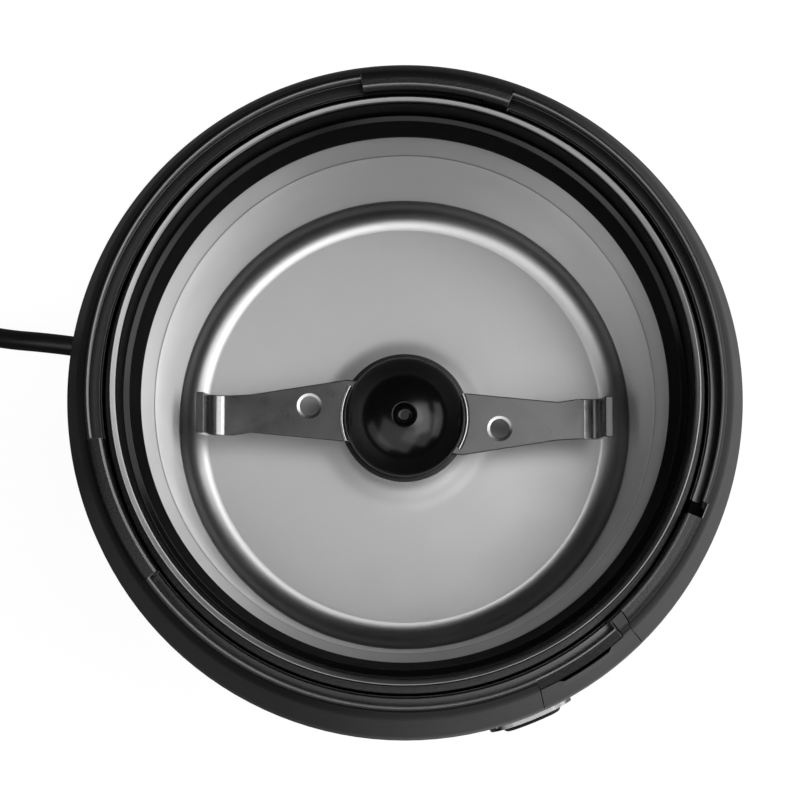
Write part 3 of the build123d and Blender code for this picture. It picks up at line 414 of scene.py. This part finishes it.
ring_corners = np.stack([
    ring(skin_r, seam_z),
    mix(ring(skin_r, 104.8), ring(47.46, 105.45), covered),
    mix(ring(*shoulder_low), ring(45.7, 105.5), covered),
    mix(ring(*shoulder_high), ring(cover_back_r, 112.0), covered),
    mix(mix(ring(44.476, 118.3), ring(cover_back_r, 118.2), covered), ring(tab_seat_r, 117.3), tabbed),
    mix(mix(ring(43.3, rim_z), ring(cover_back_r, 119.6), covered), ring(tab_seat_r, tab_seat_z), tabbed),
    ring(land_r, rim_top),
    ring(mix(land_r, track_r, 0.5 * recessed), land_under_z),
    ring(mix(track_r, 43.0, recessed), land_under_z),
    ring(track_r, ledge_z),
    ring(ledge_r + 0.34 * ledge_bead, ledge_z),
    ring(ledge_r + 0.26 * ledge_bead, ledge_z - 0.14 * ledge_bead),
    ring(ledge_r + 0.16 * ledge_bead, ledge_z + 0.1 * ledge_bead),
    ring(ledge_r, ledge_z + 0.08 * ledge_bead),
    ring(ledge_r, collar_seat_z),
    ring(bore_r, collar_seat_z),
    ring(bore_r, spigot_z),
    ring(spigot_r, spigot_z),
    ring(spigot_r, seam_z),
])
ring_cuts = np.stack(np.broadcast_arrays(0.15, mix(0.3, 0.05, covered), mix(1.2, 0.1, covered), 0.3,
                                         mix(0.85, 0.1, covered), mix(0.8, 0.1, covered), 0.32, *[0.15] * 12))
ring_profile = rounded(ring_corners, ring_cuts)
corner_of = np.arange(len(ring_profile)) // (len(ring_profile) // len(ring_corners))
# Zone 1, the rim's edge, gets a painted highlight; zones 2 and 3, the recess walls and the ledge, get painted
# light.
rim_edge = corner_of == 6
recess_wall = (corner_of == 7) | (corner_of == 8)
ledge = (corner_of > 8) & (corner_of < 13)
top_ring = round_the_axis("top_ring_moulding", ring_profile, around, wrap_rows=True, wrap_columns=True,
                          zones=np.select([rim_edge, recess_wall, ledge], [1, 2, 3], 0))
stand_for(top_ring, "housing", "top_ring", slot="body_plastic")

# %% [markdown]
# ## The shoulder's cover
#
# The cover fills the sector that the ring leaves open, drawn back by a hair on every side so that its
# seam shows as a dark line. Along its inner edge the gap is wider in the middle, and at the right-hand
# end a small tab laps over the rim.

# %% Mould the cover
hair = 0.1
cover_start, cover_stop, tab_start = cover_sector[0] + hair, sum(cover_sector) - hair, cover_tab[0] + hair
gap_start, gap_stop, gap_flank, gap_width = 297.6, 308.4, 0.8, 0.35
cover_around = np.unique(np.concatenate([
    np.arange(cover_start + 0.4, cover_stop - 0.2, 0.5), tab_start + np.linspace(-0.06, 0.06, 5),
    cover_start + np.linspace(0, 0.3, 4), cover_stop - np.linspace(0, 0.3, 4),
    gap_start + 0.4 + np.linspace(-0.5, 0.5, 5), gap_stop - 0.4 + np.linspace(-0.5, 0.5, 5),
]).round(4))
tab = np.clip((cover_around - tab_start) / cover_flank + 0.5, 0, 1)
gap = gap_width * (np.clip((cover_around - gap_start) / gap_flank, 0, 1)
                   * np.clip((gap_stop - cover_around) / gap_flank, 0, 1))


def cover_edge(radius, height):
    """One corner of the cover's profile, carried along the cover's azimuths."""
    return ring(radius, height, cover_around)


cover_corners = np.stack([
    mix(cover_edge(44.3 + gap, 119.05), cover_edge(41.5, rim_z), tab),
    mix(cover_edge(44.37 + gap, 118.95), cover_edge(44.04, rim_z), tab),
    cover_edge(*shoulder_high),
    cover_edge(*shoulder_low),
    cover_edge(47.46, 105.6),
    cover_edge(45.8, 105.6),
    cover_edge(44.3, 112.1),
    cover_edge(44.5, 117.7),
    mix(cover_edge(44.4 + gap, 117.9), cover_edge(41.5, 117.7), tab),
])
cover_cuts = np.stack(np.broadcast_arrays(0.12, mix(0.02, 1.05, tab), 0.3, 1.2, *[0.1] * 5))
cover = round_the_axis("shoulder_cover", rounded(cover_corners, cover_cuts), cover_around,
                       wrap_rows=True, caps=True)
stand_for(cover, "housing", "lock_cover", slot="body_plastic")

# %% [markdown]
# ## The hub cap
#
# The moulded cap that holds the blade down is a shallow dome with a small dimple in its top, where the
# mould was filled. Its height falls off as a flattened circle, h = H (1 - (r/R)^2.3)^(1/2), steep at the
# rim and nearly level at the middle.

# %% Spin the hub cap
cap_r, cap_rise, cap_base, cap_foot = 9.2, 4.2, 76.2, 75.62
dome_r = np.linspace(1.95, cap_r, 40)
dome_z = cap_base + cap_rise * np.sqrt(np.clip(1 - (dome_r / cap_r) ** 2.3, 0, 1))
dimple = rounded([(0.0, 78.85), (1.2, 78.85), (1.75, 80.25), (2.1, 80.3)], [0.0, 0.5, 0.25, 0.05],
                 closed=False)[:, 0]
cap_profile = np.vstack([[(0.0, cap_foot), (cap_r - 0.1, cap_foot), (cap_r, 75.8)],
                         np.stack([dome_r, dome_z], axis=1)[::-1], dimple[::-1]])
stand_for(turned_piece("blade_hub_cap", cap_profile, columns=128, closed=False), "rotor", "hub_cap",
          slot="gloss_plastic")

# %% [markdown]
# ## The blade
#
# The blade is a flat stamping with two holes and two bent-up tips, and its shape is nearly right in the
# solid. What a stamping also has is rolled edges, which catch the light, so this one is a copy of the
# solid's mesh: its doubled points are merged, flat areas joined, and a small bevel runs along each edge.
# One side of each arm is made fuller at its waist, and the whole blade slants by six tenths of a degree,
# y - 0.0105 x, which at such a small angle is as good as a turn.


# %% Roll the blade's edges
def softened_copy(name, part, width):
    """A merged copy of a solid part, with a bevel of this width in millimetres on its edges."""
    mesh = parts[part].data.copy()
    mesh.name = name
    mesh.materials.clear()
    shape = bmesh.new()
    shape.from_mesh(mesh)
    bmesh.ops.remove_doubles(shape, verts=shape.verts, dist=1e-6)
    bmesh.ops.dissolve_limit(shape, angle_limit=radians(0.6), verts=shape.verts, edges=shape.edges)
    bmesh.ops.recalc_face_normals(shape, faces=shape.faces)
    shape.to_mesh(mesh)
    shape.free()
    piece = bpy.data.objects.new(name, mesh)
    bpy.context.scene.collection.objects.link(piece)
    mesh.shade_smooth()
    bevel = piece.modifiers.new("rolled edge", "BEVEL")
    bevel.width = width * MM
    bevel.segments = 3
    bevel.limit_method = "ANGLE"
    bevel.angle_limit = radians(30)
    bevel.harden_normals = True
    mesh.set_sharp_from_angle(angle=radians(30))
    return piece


# %% Fill out the blade's waists and slant it
waist_x, waist_reach, waist_growth, blade_slant = 23.5, 0.3, 1.2, 0.0105
blade = stand_for(softened_copy("cutting_blade", "blade", 0.16), "rotor", "blade", slot="blade_steel")
corners = np.empty(3 * len(blade.data.vertices))
blade.data.vertices.foreach_get("co", corners)
corners = corners.reshape(-1, 3)
at_waist = np.abs(np.abs(corners[:, 0]) - waist_x * MM) < waist_reach * MM
waist = at_waist & (corners[:, 0] * corners[:, 1] < 0)
corners[waist, 1] *= waist_growth
corners[:, 1] -= blade_slant * corners[:, 0]
blade.data.vertices.foreach_set("co", corners.ravel())
print("widened corners at the blade's waists:", waist.sum())

# %% [markdown]
# ## The ridges, the hole rims and the tips' painted highlight
#
# Two marks of the press are small but catch the light: a ridge across each arm at the hub's foot, and the
# raised rim that the punch leaves round each hole. Each is a closed profile carried round a centre. The
# bent-up tips are painted a bright grey as a painted highlight, so their faces get the second finish.


# %% Coin the ridges and the rims
def bead(name, r, z, degrees, centre=(0.0, 0.0), **how):
    """Carries a closed profile of (r, z) points round a centre: x = cx + r cos a, y = cy + r sin a."""
    angle = np.radians(degrees)
    points = np.stack([centre[0] + np.outer(r, np.cos(angle)), centre[1] + np.outer(r, np.sin(angle)),
                       np.tile(np.reshape(z, (-1, 1)), len(angle))], axis=-1)
    return stand_for(grid_piece(name, points, wrap_rows=True, **how), "rotor")


blade_top, hole_x, hole_y = 75.6, 14.6, -1.75
half_turn = np.linspace(0, np.pi, 11)
ridge_r, ridge_z = 9.64 + 0.36 * np.cos(half_turn), blade_top - 0.05 + 0.35 * np.sin(half_turn)
rim_r, rim_rise = np.array([1.45, 1.5, 1.72, 1.94, 1.98]), np.array([-0.1, 0.01, 0.045, 0.08, -0.1])
full_turn = np.arange(0, 360, 7.5)
beads = [bead("right_ridge", ridge_r, ridge_z, np.linspace(-30, 22, 40), caps=True),
         bead("left_ridge", ridge_r, ridge_z, np.linspace(150, 202, 40), caps=True),
         bead("right_hole_rim", rim_r, blade_top + rim_rise, full_turn, (hole_x, hole_y), wrap_columns=True),
         bead("left_hole_rim", rim_r, blade_top + rim_rise, full_turn, (-hole_x, -hole_y), wrap_columns=True)]

# %% Mark the tips for their painted highlight
tip_x, highlight_below_z = 26.2, 80.2
faces = blade.data.polygons
centres, marks = np.empty(3 * len(faces)), np.zeros(len(faces), np.int32)
faces.foreach_get("center", centres)
# Faces of the bent-up tips get the bright grey of a painted highlight.
marks[(np.abs(centres[::3]) > tip_x * MM) & (centres[2::3] < highlight_below_z * MM)] = 1
faces.foreach_set("material_index", marks)
print("tip faces:", marks.sum())

# %% [markdown]
# ## The cord's boot and the plug
#
# The boot is turned about the cord's own first direction, a taper with flex grooves. The plug is a loft:
# its section is a superellipse, |x/a|^n + |y/b|^n = 1, whose width, height and squareness change along
# the way from the cord to the pins, with four grip grooves across it.


# %% Helpers for lofts
def along_axis(origin, axis, section_x, section_y, stations):
    """Points of a tube-like grid: origin + s * axis + x * side + y * up, for each station and angle."""
    side = np.cross((0, 0, 1.0), axis)
    return (np.asarray(origin) + stations[:, None, None] * axis + section_x[..., None] * side
            + section_y[..., None] * np.array([0, 0, 1.0]))


def closed_tube(name, origin, axis, half_width, half_height, power, stations, columns=64):
    """A loft of superellipses with a pole at each end: x = a sgn(cos) |cos|^(2/n), y the same with sin."""
    half_width, half_height = (np.pad(half, 1, constant_values=0.01) for half in (half_width, half_height))
    power, stations = (np.pad(values, 1, mode="edge") for values in (power, stations))
    angle = np.linspace(0, 2 * np.pi, columns, endpoint=False)
    n = (2 / power)[:, None]
    x = half_width[:, None] * np.sign(np.cos(angle)) * np.abs(np.cos(angle)) ** n
    y = half_height[:, None] * np.sign(np.sin(angle)) * np.abs(np.sin(angle)) ** n
    return grid_piece(name, along_axis(origin, axis, x, y, stations), wrap_columns=True)


def grooves(stations, depth, first, pitch, low, high, power=0.5):
    """Rounded grooves a pitch apart between two stations: depth * max(cos, 0)^power."""
    wave = np.clip(np.cos(2 * np.pi * (stations - first) / pitch), 0, 1)
    return depth * wave ** power * ((stations > low) & (stations < high))


# %% Loft the boot
boot_root = -6.1
stations = np.linspace(boot_root, boot_reach, 140)
taper = np.interp(stations, [boot_root, -4.2, -4.1, 1.0, 1.1, boot_reach], [4.9, 4.9, 4.0, 4.0, 4.9, 2.7])
boot_r = taper - grooves(stations, 0.45, 3.2, 2.3, 2.5, 13.2)
boot = closed_tube("cord_boot", wall_point, boot_axis, boot_r, boot_r, np.full(len(stations), 2.0), stations)
stand_for(boot, "housing", "strain_relief", slot="rubber")

sleeve_end, plug_end = 11.5, 44.5
stations = np.concatenate([np.linspace(0, sleeve_end, 40), np.linspace(sleeve_end + 0.05, plug_end, 120)])
marked = [0, sleeve_end, 12.1, 25.5, 43.3, plug_end]
sleeve_grooves = grooves(stations, 0.4, 3, 2.6, 2, 10)
plug_width = np.interp(stations, marked, [2.6, 4.6, 7.2, 16.9, 17.0, 16.2]) - sleeve_grooves
plug_height = (np.interp(stations, marked, [2.6, 4.6, 4.8, 6.45, 6.5, 5.8]) - sleeve_grooves
               - grooves(stations, 0.35, 27.5, 3.2, 26.5, 38.5, power=0.6))
plug_power = np.interp(stations, [0, 10.5, 12.5, 25.5, plug_end], [2.0, 2.0, 3.0, 3.4, 3.4])
plug = closed_tube("mains_plug", plug_place, np.array([-1.0, 0, 0]), plug_width, plug_height, plug_power,
                   stations, columns=96)
stand_for(plug, "housing", "plug_body", slot="cord_pvc")

# %% [markdown]
# ## Shared effects
#
# Three effects turn up in most of the finishes, so each is a node group that is built once: a fine
# grain for moulded and cast surfaces, a cloudy change of tone that keeps any colour from being flat, and
# turned lines that run round the axis of a spun or ground part. They read Object coordinates, which are
# the drawing's own coordinates here, so a pattern stays on its piece in every pose.


# %% Helpers for node trees
def new_group(name, inputs, outputs):
    """A shader node group with these (name, kind, default) sockets; returns it with its two end nodes."""
    group = bpy.data.node_groups.new(name, "ShaderNodeTree")
    for socket_name, kind, value in inputs:
        socket = group.interface.new_socket(socket_name, in_out="INPUT", socket_type=kind)
        socket.default_value = value
    for socket_name, kind in outputs:
        group.interface.new_socket(socket_name, in_out="OUTPUT", socket_type=kind)
    return group, group.nodes.new("NodeGroupInput"), group.nodes.new("NodeGroupOutput")


def maths(tree, operation, first, second=0.5, clamp=False):
    """A Math node; first and second are sockets or numbers."""
    node = tree.nodes.new("ShaderNodeMath")
    node.operation = operation
    node.use_clamp = clamp
    for place, value in enumerate((first, second)):
        if isinstance(value, (int, float)):
            node.inputs[place].default_value = value
        else:
            tree.links.new(value, node.inputs[place])
    return node.outputs[0]


def noise_of(tree, scale, detail=2.0, vector=None, roughness=0.5):
    """A Noise node on Object coordinates or on the vector given; scale is a number or a socket."""
    node = tree.nodes.new("ShaderNodeTexNoise")
    node.inputs["Detail"].default_value = detail
    node.inputs["Roughness"].default_value = roughness
    if vector is None:
        vector = tree.nodes.new("ShaderNodeTexCoord").outputs["Object"]
    tree.links.new(vector, node.inputs["Vector"])
    if isinstance(scale, (int, float)):
        node.inputs["Scale"].default_value = scale
    else:
        tree.links.new(scale, node.inputs["Scale"])
    return node.outputs["Fac"]


# %% Fine grain
number, colour = "NodeSocketFloat", "NodeSocketColor"
grain_group, grain_in, grain_out = new_group(
    "fine grain", [("Scale", number, 2500.0), ("Coarse share", number, 0.3)], [("Height", number)])
fine = noise_of(grain_group, grain_in.outputs["Scale"], 3.0)
coarse = noise_of(grain_group, maths(grain_group, "MULTIPLY", grain_in.outputs["Scale"], 0.22), 1.0)
coarse = maths(grain_group, "MULTIPLY", coarse, grain_in.outputs["Coarse share"])
grain_group.links.new(maths(grain_group, "ADD", fine, coarse), grain_out.inputs["Height"])
print(grain_group.name, "nodes:", len(grain_group.nodes))

# %% Cloudy tone
tone_group, tone_in, tone_out = new_group(
    "cloudy tone", [("Dark", colour, (0.1, 0.1, 0.1, 1)), ("Light", colour, (0.2, 0.2, 0.2, 1)),
                    ("Scale", number, 60.0), ("Rough low", number, 0.3), ("Rough high", number, 0.5)],
    [("Colour", colour), ("Roughness", number)])
cloud = noise_of(tone_group, tone_in.outputs["Scale"], 4.0, roughness=0.6)
cloud = maths(tone_group, "MULTIPLY", maths(tone_group, "SUBTRACT", cloud, 0.3), 2.5, clamp=True)
blend = tone_group.nodes.new("ShaderNodeMix")
blend.data_type = "RGBA"
tone_group.links.new(cloud, blend.inputs["Factor"])
tone_group.links.new(tone_in.outputs["Dark"], blend.inputs["A"])
tone_group.links.new(tone_in.outputs["Light"], blend.inputs["B"])
tone_group.links.new(blend.outputs["Result"], tone_out.inputs["Colour"])
span = maths(tone_group, "SUBTRACT", tone_in.outputs["Rough high"], tone_in.outputs["Rough low"])
tone_group.links.new(maths(tone_group, "ADD", maths(tone_group, "MULTIPLY", cloud, span),
                           tone_in.outputs["Rough low"]), tone_out.inputs["Roughness"])
print(tone_group.name, "nodes:", len(tone_group.nodes))

# %% Turned lines
turned_group, turned_in, turned_out = new_group("turned lines", [("Lines per metre", number, 4000.0)],
                                                [("Height", number)])
place = turned_group.nodes.new("ShaderNodeTexCoord").outputs["Object"]
apart = turned_group.nodes.new("ShaderNodeSeparateXYZ")
turned_group.links.new(place, apart.inputs[0])
flat = turned_group.nodes.new("ShaderNodeCombineXYZ")
turned_group.links.new(apart.outputs["X"], flat.inputs["X"])
turned_group.links.new(apart.outputs["Y"], flat.inputs["Y"])
radius = turned_group.nodes.new("ShaderNodeVectorMath")
radius.operation = "LENGTH"
turned_group.links.new(flat.outputs[0], radius.inputs[0])
across = turned_group.nodes.new("ShaderNodeCombineXYZ")
for socket, length in (("X", radius.outputs["Value"]), ("Y", apart.outputs["Z"])):
    lines = maths(turned_group, "MULTIPLY", length, turned_in.outputs[0])
    turned_group.links.new(lines, across.inputs[socket])
turned_group.links.new(noise_of(turned_group, 1.0, 2.0, across.outputs[0]), turned_out.inputs["Height"])
print(turned_group.name, "nodes:", len(turned_group.nodes))


# %% [markdown]
# ## Finishes
#
# One function makes every finish from those groups, because they differ in numbers and not in kind:
# two close colours, a range of roughness, a grain height and its scale. Numbers that are the same all
# over a surface are set on the shader itself.


# %% One function for every finish
def finish(name, dark, light, rough, metal=0.0, tone_scale=60.0, grain_scale=2500.0, grain_height=0.0,
           turned_height=0.0, turned_lines=4000.0, specular=0.5, brushed=0.0):
    """A Principled material whose colour and roughness drift between two values and whose surface has a
    grain, turned lines or both; heights are in millimetres. brushed stretches its highlights across the
    lines that a tool leaves as it goes round the axis."""
    material = bpy.data.materials.new(name)
    material.use_nodes = True
    tree = material.node_tree
    shader = tree.nodes["Principled BSDF"]
    tone = tree.nodes.new("ShaderNodeGroup")
    tone.node_tree = tone_group
    tone.inputs["Dark"].default_value = (*dark, 1)
    tone.inputs["Light"].default_value = (*light, 1)
    tone.inputs["Scale"].default_value = tone_scale
    tone.inputs["Rough low"].default_value = rough[0]
    tone.inputs["Rough high"].default_value = rough[1]
    tree.links.new(tone.outputs["Colour"], shader.inputs["Base Color"])
    tree.links.new(tone.outputs["Roughness"], shader.inputs["Roughness"])
    shader.inputs["Metallic"].default_value = metal
    shader.inputs["Anisotropic"].default_value = brushed
    shader.inputs["Anisotropic Rotation"].default_value = 0.25
    shader.inputs["Specular IOR Level"].default_value = specular
    normal = None
    reliefs = ((grain_group, grain_scale, grain_height), (turned_group, turned_lines, turned_height))
    for group, size, height in reliefs:
        if height:
            effect = tree.nodes.new("ShaderNodeGroup")
            effect.node_tree = group
            effect.inputs[0].default_value = size
            bump = tree.nodes.new("ShaderNodeBump")
            bump.inputs["Distance"].default_value = height * MM
            tree.links.new(effect.outputs["Height"], bump.inputs["Height"])
            if normal:
                tree.links.new(normal, bump.inputs["Normal"])
            normal = bump.outputs["Normal"]
    if normal:
        tree.links.new(normal, shader.inputs["Normal"])
    return material


def grey(value):
    """A neutral colour."""
    return (value, value, value)


# %% The finishes that slots name
finishes = {
    "body_plastic": finish("textured black", grey(0.006), grey(0.01), (0.3, 0.36), grain_scale=2600,
                           grain_height=0.03, specular=0.36),
    "gloss_plastic": finish("polished black", grey(0.004), grey(0.006), (0.12, 0.16), grain_scale=900,
                            grain_height=0.002, specular=0.3),
    "bowl_steel": finish("satin floor", grey(0.43), grey(0.47), (0.4, 0.46), metal=1.0, brushed=0.25,
                         turned_height=0.0012, turned_lines=9000, grain_height=0.001, grain_scale=4000),
    "blade_steel": finish("ground steel", grey(0.07), grey(0.1), (0.26, 0.32), metal=1.0, tone_scale=150,
                          grain_height=0.004, grain_scale=3000),
    "chrome_trim": finish("satin chrome", grey(0.2), grey(0.28), (0.26, 0.34), metal=1.0),
    "rubber": finish("black rubber", grey(0.016), grey(0.024), (0.55, 0.7), grain_height=0.03, specular=0.35),
    "cord_pvc": finish("cord jacket", grey(0.012), grey(0.017), (0.34, 0.42), grain_height=0.01,
                       specular=0.5),
    "plated_steel": finish("zinc plate", (0.5, 0.5, 0.47), (0.6, 0.6, 0.58), (0.25, 0.4), metal=1.0,
                           tone_scale=300, grain_height=0.004),
    "bracket_aluminium": finish("die-cast aluminium", grey(0.5), grey(0.6), (0.35, 0.5), metal=1.0,
                                grain_height=0.02, grain_scale=1500),
    "lamination_steel": finish("varnished laminations", (0.12, 0.12, 0.13), (0.2, 0.2, 0.21), (0.35, 0.5),
                               metal=0.6, grain_height=0.02, grain_scale=1200),
    "copper": finish("varnished copper", (0.42, 0.16, 0.07), (0.58, 0.25, 0.12), (0.25, 0.4), metal=0.9,
                     tone_scale=250, grain_height=0.03, grain_scale=1400),
    "brass": finish("drawn brass", (0.6, 0.45, 0.2), (0.72, 0.57, 0.3), (0.2, 0.32), metal=1.0,
                    grain_height=0.003),
    "bronze": finish("oiled bronze", (0.36, 0.25, 0.13), (0.48, 0.35, 0.2), (0.35, 0.5), metal=1.0,
                     grain_height=0.01),
    "carbon": finish("pressed carbon", grey(0.03), grey(0.05), (0.45, 0.6), grain_height=0.02),
    "washer_fibre": finish("pale nylon", (0.66, 0.63, 0.56), (0.74, 0.71, 0.64), (0.4, 0.5),
                           grain_height=0.01),
    "fan_plastic": finish("white nylon", (0.7, 0.7, 0.68), (0.78, 0.78, 0.76), (0.35, 0.45),
                          grain_height=0.01),
    "switch_plastic": finish("switch case", grey(0.03), grey(0.045), (0.35, 0.45), grain_height=0.01),
    "plunger_plastic": finish("red acetal", (0.55, 0.07, 0.05), (0.65, 0.1, 0.07), (0.25, 0.35),
                              grain_height=0.005),
    "capacitor_plastic": finish("yellow case", (0.65, 0.5, 0.08), (0.75, 0.6, 0.12), (0.3, 0.4),
                                grain_height=0.01),
}
print("finishes for slots:", len(finishes))

# %% Further finishes for zones
# The collar lip's pale metal grey is a painted highlight on the black ring's rounded edge.
lip_highlight_finish = finish("painted lip highlight", grey(0.22), grey(0.28), (0.32, 0.38), metal=1.0)
# The corner's lower roughness is its polish; its lighter grey is a painted highlight for the bright ring.
corner_highlight_finish = finish("polished corner with painted highlight", grey(0.5), grey(0.56), (0.31, 0.35), metal=1.0)
# The wall's and the cone's light greys are painted light: the same steel as the floor, painted lighter.
lit_wall_finish = finish("satin wall with painted light", grey(0.84), grey(0.88), (0.5, 0.56), metal=1.0, brushed=0.9)
lit_cone_finish = finish("ground cone with painted light", grey(0.66), grey(0.7), (0.5, 0.56), metal=1.0, brushed=0.9)
# The fill line's darker grey is painted shade in its step.
shaded_line_finish = finish("fill line with painted shade", grey(0.44), grey(0.5), (0.4, 0.5), metal=1.0)
# The recess walls' lighter grey is painted light on the same moulding's black.
lit_recess_finish = finish("moulded recess with painted light", grey(0.03), grey(0.04), (0.5, 0.6), grain_scale=2600,
                       grain_height=0.03)
# Smoother than the rim, and painted lighter and shinier to lift it out of the rim's shade: partly painted
# light.
lit_ledge_finish = finish("smooth ledge with painted light", grey(0.01), grey(0.014), (0.17, 0.23), specular=0.7)
# The rim edge's pale grey is a painted highlight.
edge_highlight_finish = finish("painted edge highlight", grey(0.11), grey(0.14), (0.25, 0.32), specular=0.8)
# Satin, and painted a deeper black with a faint shine than the collar's plastic: painted shade for walls and
# notches.
shaded_collar_wall_finish = finish("satin black with painted shade", grey(0.0015), grey(0.002), (0.5, 0.56), specular=0.03)
# The tips' light grey is a painted highlight on the blade's dark steel.
tip_highlight_finish = finish("painted tip highlight", grey(0.34), grey(0.4), (0.2, 0.28), metal=1.0, tone_scale=300)
print("finishes in all:", len(bpy.data.materials))

# %% [markdown]
# ## Handing the finishes out
#
# The record of the parts names a finish slot for every part, so the solid parts that still show are
# dressed in one loop. New pieces carry the name of their slot and get the same finish. A piece with
# zones then gets its further finishes, in the order of its zones' numbers. The ridges and the hole rims
# have no slot and get the tips' bright grey, a painted highlight.

# %% Dress every piece
for row in frame["record"]["subparts"]:
    part = parts[row["node"]]
    part.data.materials.clear()
    part.data.materials.append(finishes[row["material_slot"]])
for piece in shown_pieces():
    if "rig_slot" in piece:
        piece.data.materials.append(finishes[piece["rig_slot"]])
# The lid switch's pin is painted in that deeper black, painted shade in its slot.
parts["interlock_pin"].data.materials[0] = shaded_collar_wall_finish
for piece, more in ((collar, [lip_highlight_finish, shaded_collar_wall_finish, finishes["body_plastic"]]),
                    (bowl, [corner_highlight_finish, lit_wall_finish, lit_cone_finish, shaded_line_finish]),
                    (top_ring, [edge_highlight_finish, lit_recess_finish, lit_ledge_finish]), (blade, [tip_highlight_finish]),
                    *((piece, [tip_highlight_finish]) for piece in beads)):
    for material in more:
        piece.data.materials.append(material)
    print(piece.name, "finishes:", [material.name for material in piece.data.materials])

# %% [markdown]
# ## The table, the lights and the surroundings
#
# A white table fills the view. The camera sees it, and the room, as plain white, and so does glass. The
# object itself stands in a nearly dark room with soft lamps, most of them on the right and above, which
# is what gives metal its greys. In reflections the table glows brighter on its right than on its left,
# painted light in place of the windows' light on it.


# %% Set the table
def lobe(tree, direction, axis, low, high, dim, bright):
    """Brightness that rises smoothly from dim to bright as direction . axis goes from low to high."""
    facing = tree.nodes.new("ShaderNodeVectorMath")
    facing.operation = "DOT_PRODUCT"
    facing.inputs[1].default_value = axis
    tree.links.new(direction, facing.inputs[0])
    curve = tree.nodes.new("ShaderNodeMapRange")
    curve.interpolation_type = "SMOOTHSTEP"
    for socket, value in (("From Min", low), ("From Max", high), ("To Min", dim), ("To Max", bright)):
        curve.inputs[socket].default_value = value
    tree.links.new(facing.outputs["Value"], curve.inputs["Value"])
    return curve.outputs["Result"]


def plain_rays(tree, rays):
    """1 for a ray from the camera or through glass, and 0 for any other."""
    return maths(tree, "MAXIMUM", rays.outputs["Is Camera Ray"], rays.outputs["Is Transmission Ray"])


table_half, table_white = 3, 0.95
table_mesh = bpy.data.meshes.new("table")
table_corners = [(x * table_half, y * table_half, 0) for x, y in ((-1, -1), (1, -1), (1, 1), (-1, 1))]
table_mesh.from_pydata(table_corners, [], [(0, 1, 2, 3)])
table = bpy.data.objects.new("table", table_mesh)
bpy.context.scene.collection.objects.link(table)
table_look = bpy.data.materials.new("white table")
table_look.use_nodes = True
tree = table_look.node_tree
matte = tree.nodes["Principled BSDF"]
matte.inputs["Base Color"].default_value = (0.1, 0.1, 0.1, 1)
matte.inputs["Roughness"].default_value = 0.8
glow = tree.nodes.new("ShaderNodeEmission")
rays = tree.nodes.new("ShaderNodeLightPath")
# Painted light: in reflections the table glows brighter on its right side, as if the windows lit it.
painted_window_light = lobe(tree, tree.nodes.new("ShaderNodeTexCoord").outputs["Object"], axis=(0.94, -0.34, 0),
                low=-0.01, high=0.12, dim=0.02, bright=0.32)
plain = maths(tree, "MULTIPLY", plain_rays(tree, rays), table_white)
mirrored = maths(tree, "MULTIPLY", rays.outputs["Is Glossy Ray"], painted_window_light)
tree.links.new(maths(tree, "MAXIMUM", plain, mirrored), glow.inputs["Strength"])
both = tree.nodes.new("ShaderNodeAddShader")
tree.links.new(matte.outputs[0], both.inputs[0])
tree.links.new(glow.outputs[0], both.inputs[1])
tree.links.new(both.outputs[0], tree.nodes["Material Output"].inputs["Surface"])
table_mesh.materials.append(table_look)
print("table's side, m:", 2 * table_half)

# %% Paint the room
world = bpy.data.worlds.new("studio")
bpy.context.scene.world = world
world.use_nodes = True
tree = world.node_tree
background = tree.nodes["Background"]
background.inputs["Color"].default_value = (1, 1, 1, 1)
direction = tree.nodes.new("ShaderNodeTexCoord").outputs["Generated"]
from_above = lobe(tree, direction, axis=(0.1, -0.1, 0.99), low=0.2, high=1.0, dim=0.0005, bright=0.0025)
from_right = lobe(tree, direction, axis=(0.74, -0.52, 0.42), low=0.4, high=0.98, dim=0.0, bright=0.005)
room_or_white = tree.nodes.new("ShaderNodeMix")
tree.links.new(plain_rays(tree, tree.nodes.new("ShaderNodeLightPath")), room_or_white.inputs["Factor"])
tree.links.new(maths(tree, "ADD", from_above, from_right), room_or_white.inputs["A"])
room_or_white.inputs["B"].default_value = 1.0
tree.links.new(room_or_white.outputs["Result"], background.inputs["Strength"])
print("nodes in the room's shader:", len(tree.nodes))


# %% Hang the lamps
def soft_lamp(name, azimuth, elevation, size, radiance, distance=1.0, aim_height=0.1):
    """A rectangular lamp in metres that looks at the bowl from an azimuth and an elevation. Its power is
    pi * area * radiance, so a mirror that faces it shows it at this brightness."""
    lamp = bpy.data.lights.new(name, "AREA")
    lamp.shape = "RECTANGLE"
    lamp.size, lamp.size_y = size
    lamp.energy = np.pi * size[0] * size[1] * radiance
    holder = bpy.data.objects.new(name, lamp)
    turn_to, lift = radians(azimuth), radians(elevation)
    holder.location = (distance * np.cos(lift) * np.cos(turn_to), distance * np.cos(lift) * np.sin(turn_to),
                       aim_height + distance * np.sin(lift))
    holder.rotation_euler = (np.pi / 2 - lift, 0, turn_to + np.pi / 2)
    bpy.context.scene.collection.objects.link(holder)
    print(name, "power, W:", round(lamp.energy, 2))


soft_lamp("side_window", 22, 20, (1.4, 0.5), 3.2)
soft_lamp("front_window", 325, 24, (0.7, 0.4), 1.5)
soft_lamp("right_panel", 0, 48, (0.6, 0.5), 2.0)
soft_lamp("front_ceiling", 245, 72, (0.6, 0.5), 1.4)
soft_lamp("right_ceiling", 335, 72, (0.6, 0.5), 1.2)
soft_lamp("skylight", 8, 75.5, (0.44, 0.26), 3.0)
soft_lamp("roof_window", 30, 82, (0.2, 0.2), 2.6)
soft_lamp("left_panel", 215, 50, (0.6, 0.5), 1.1)
bpy.context.scene.view_settings.view_transform = "Standard"
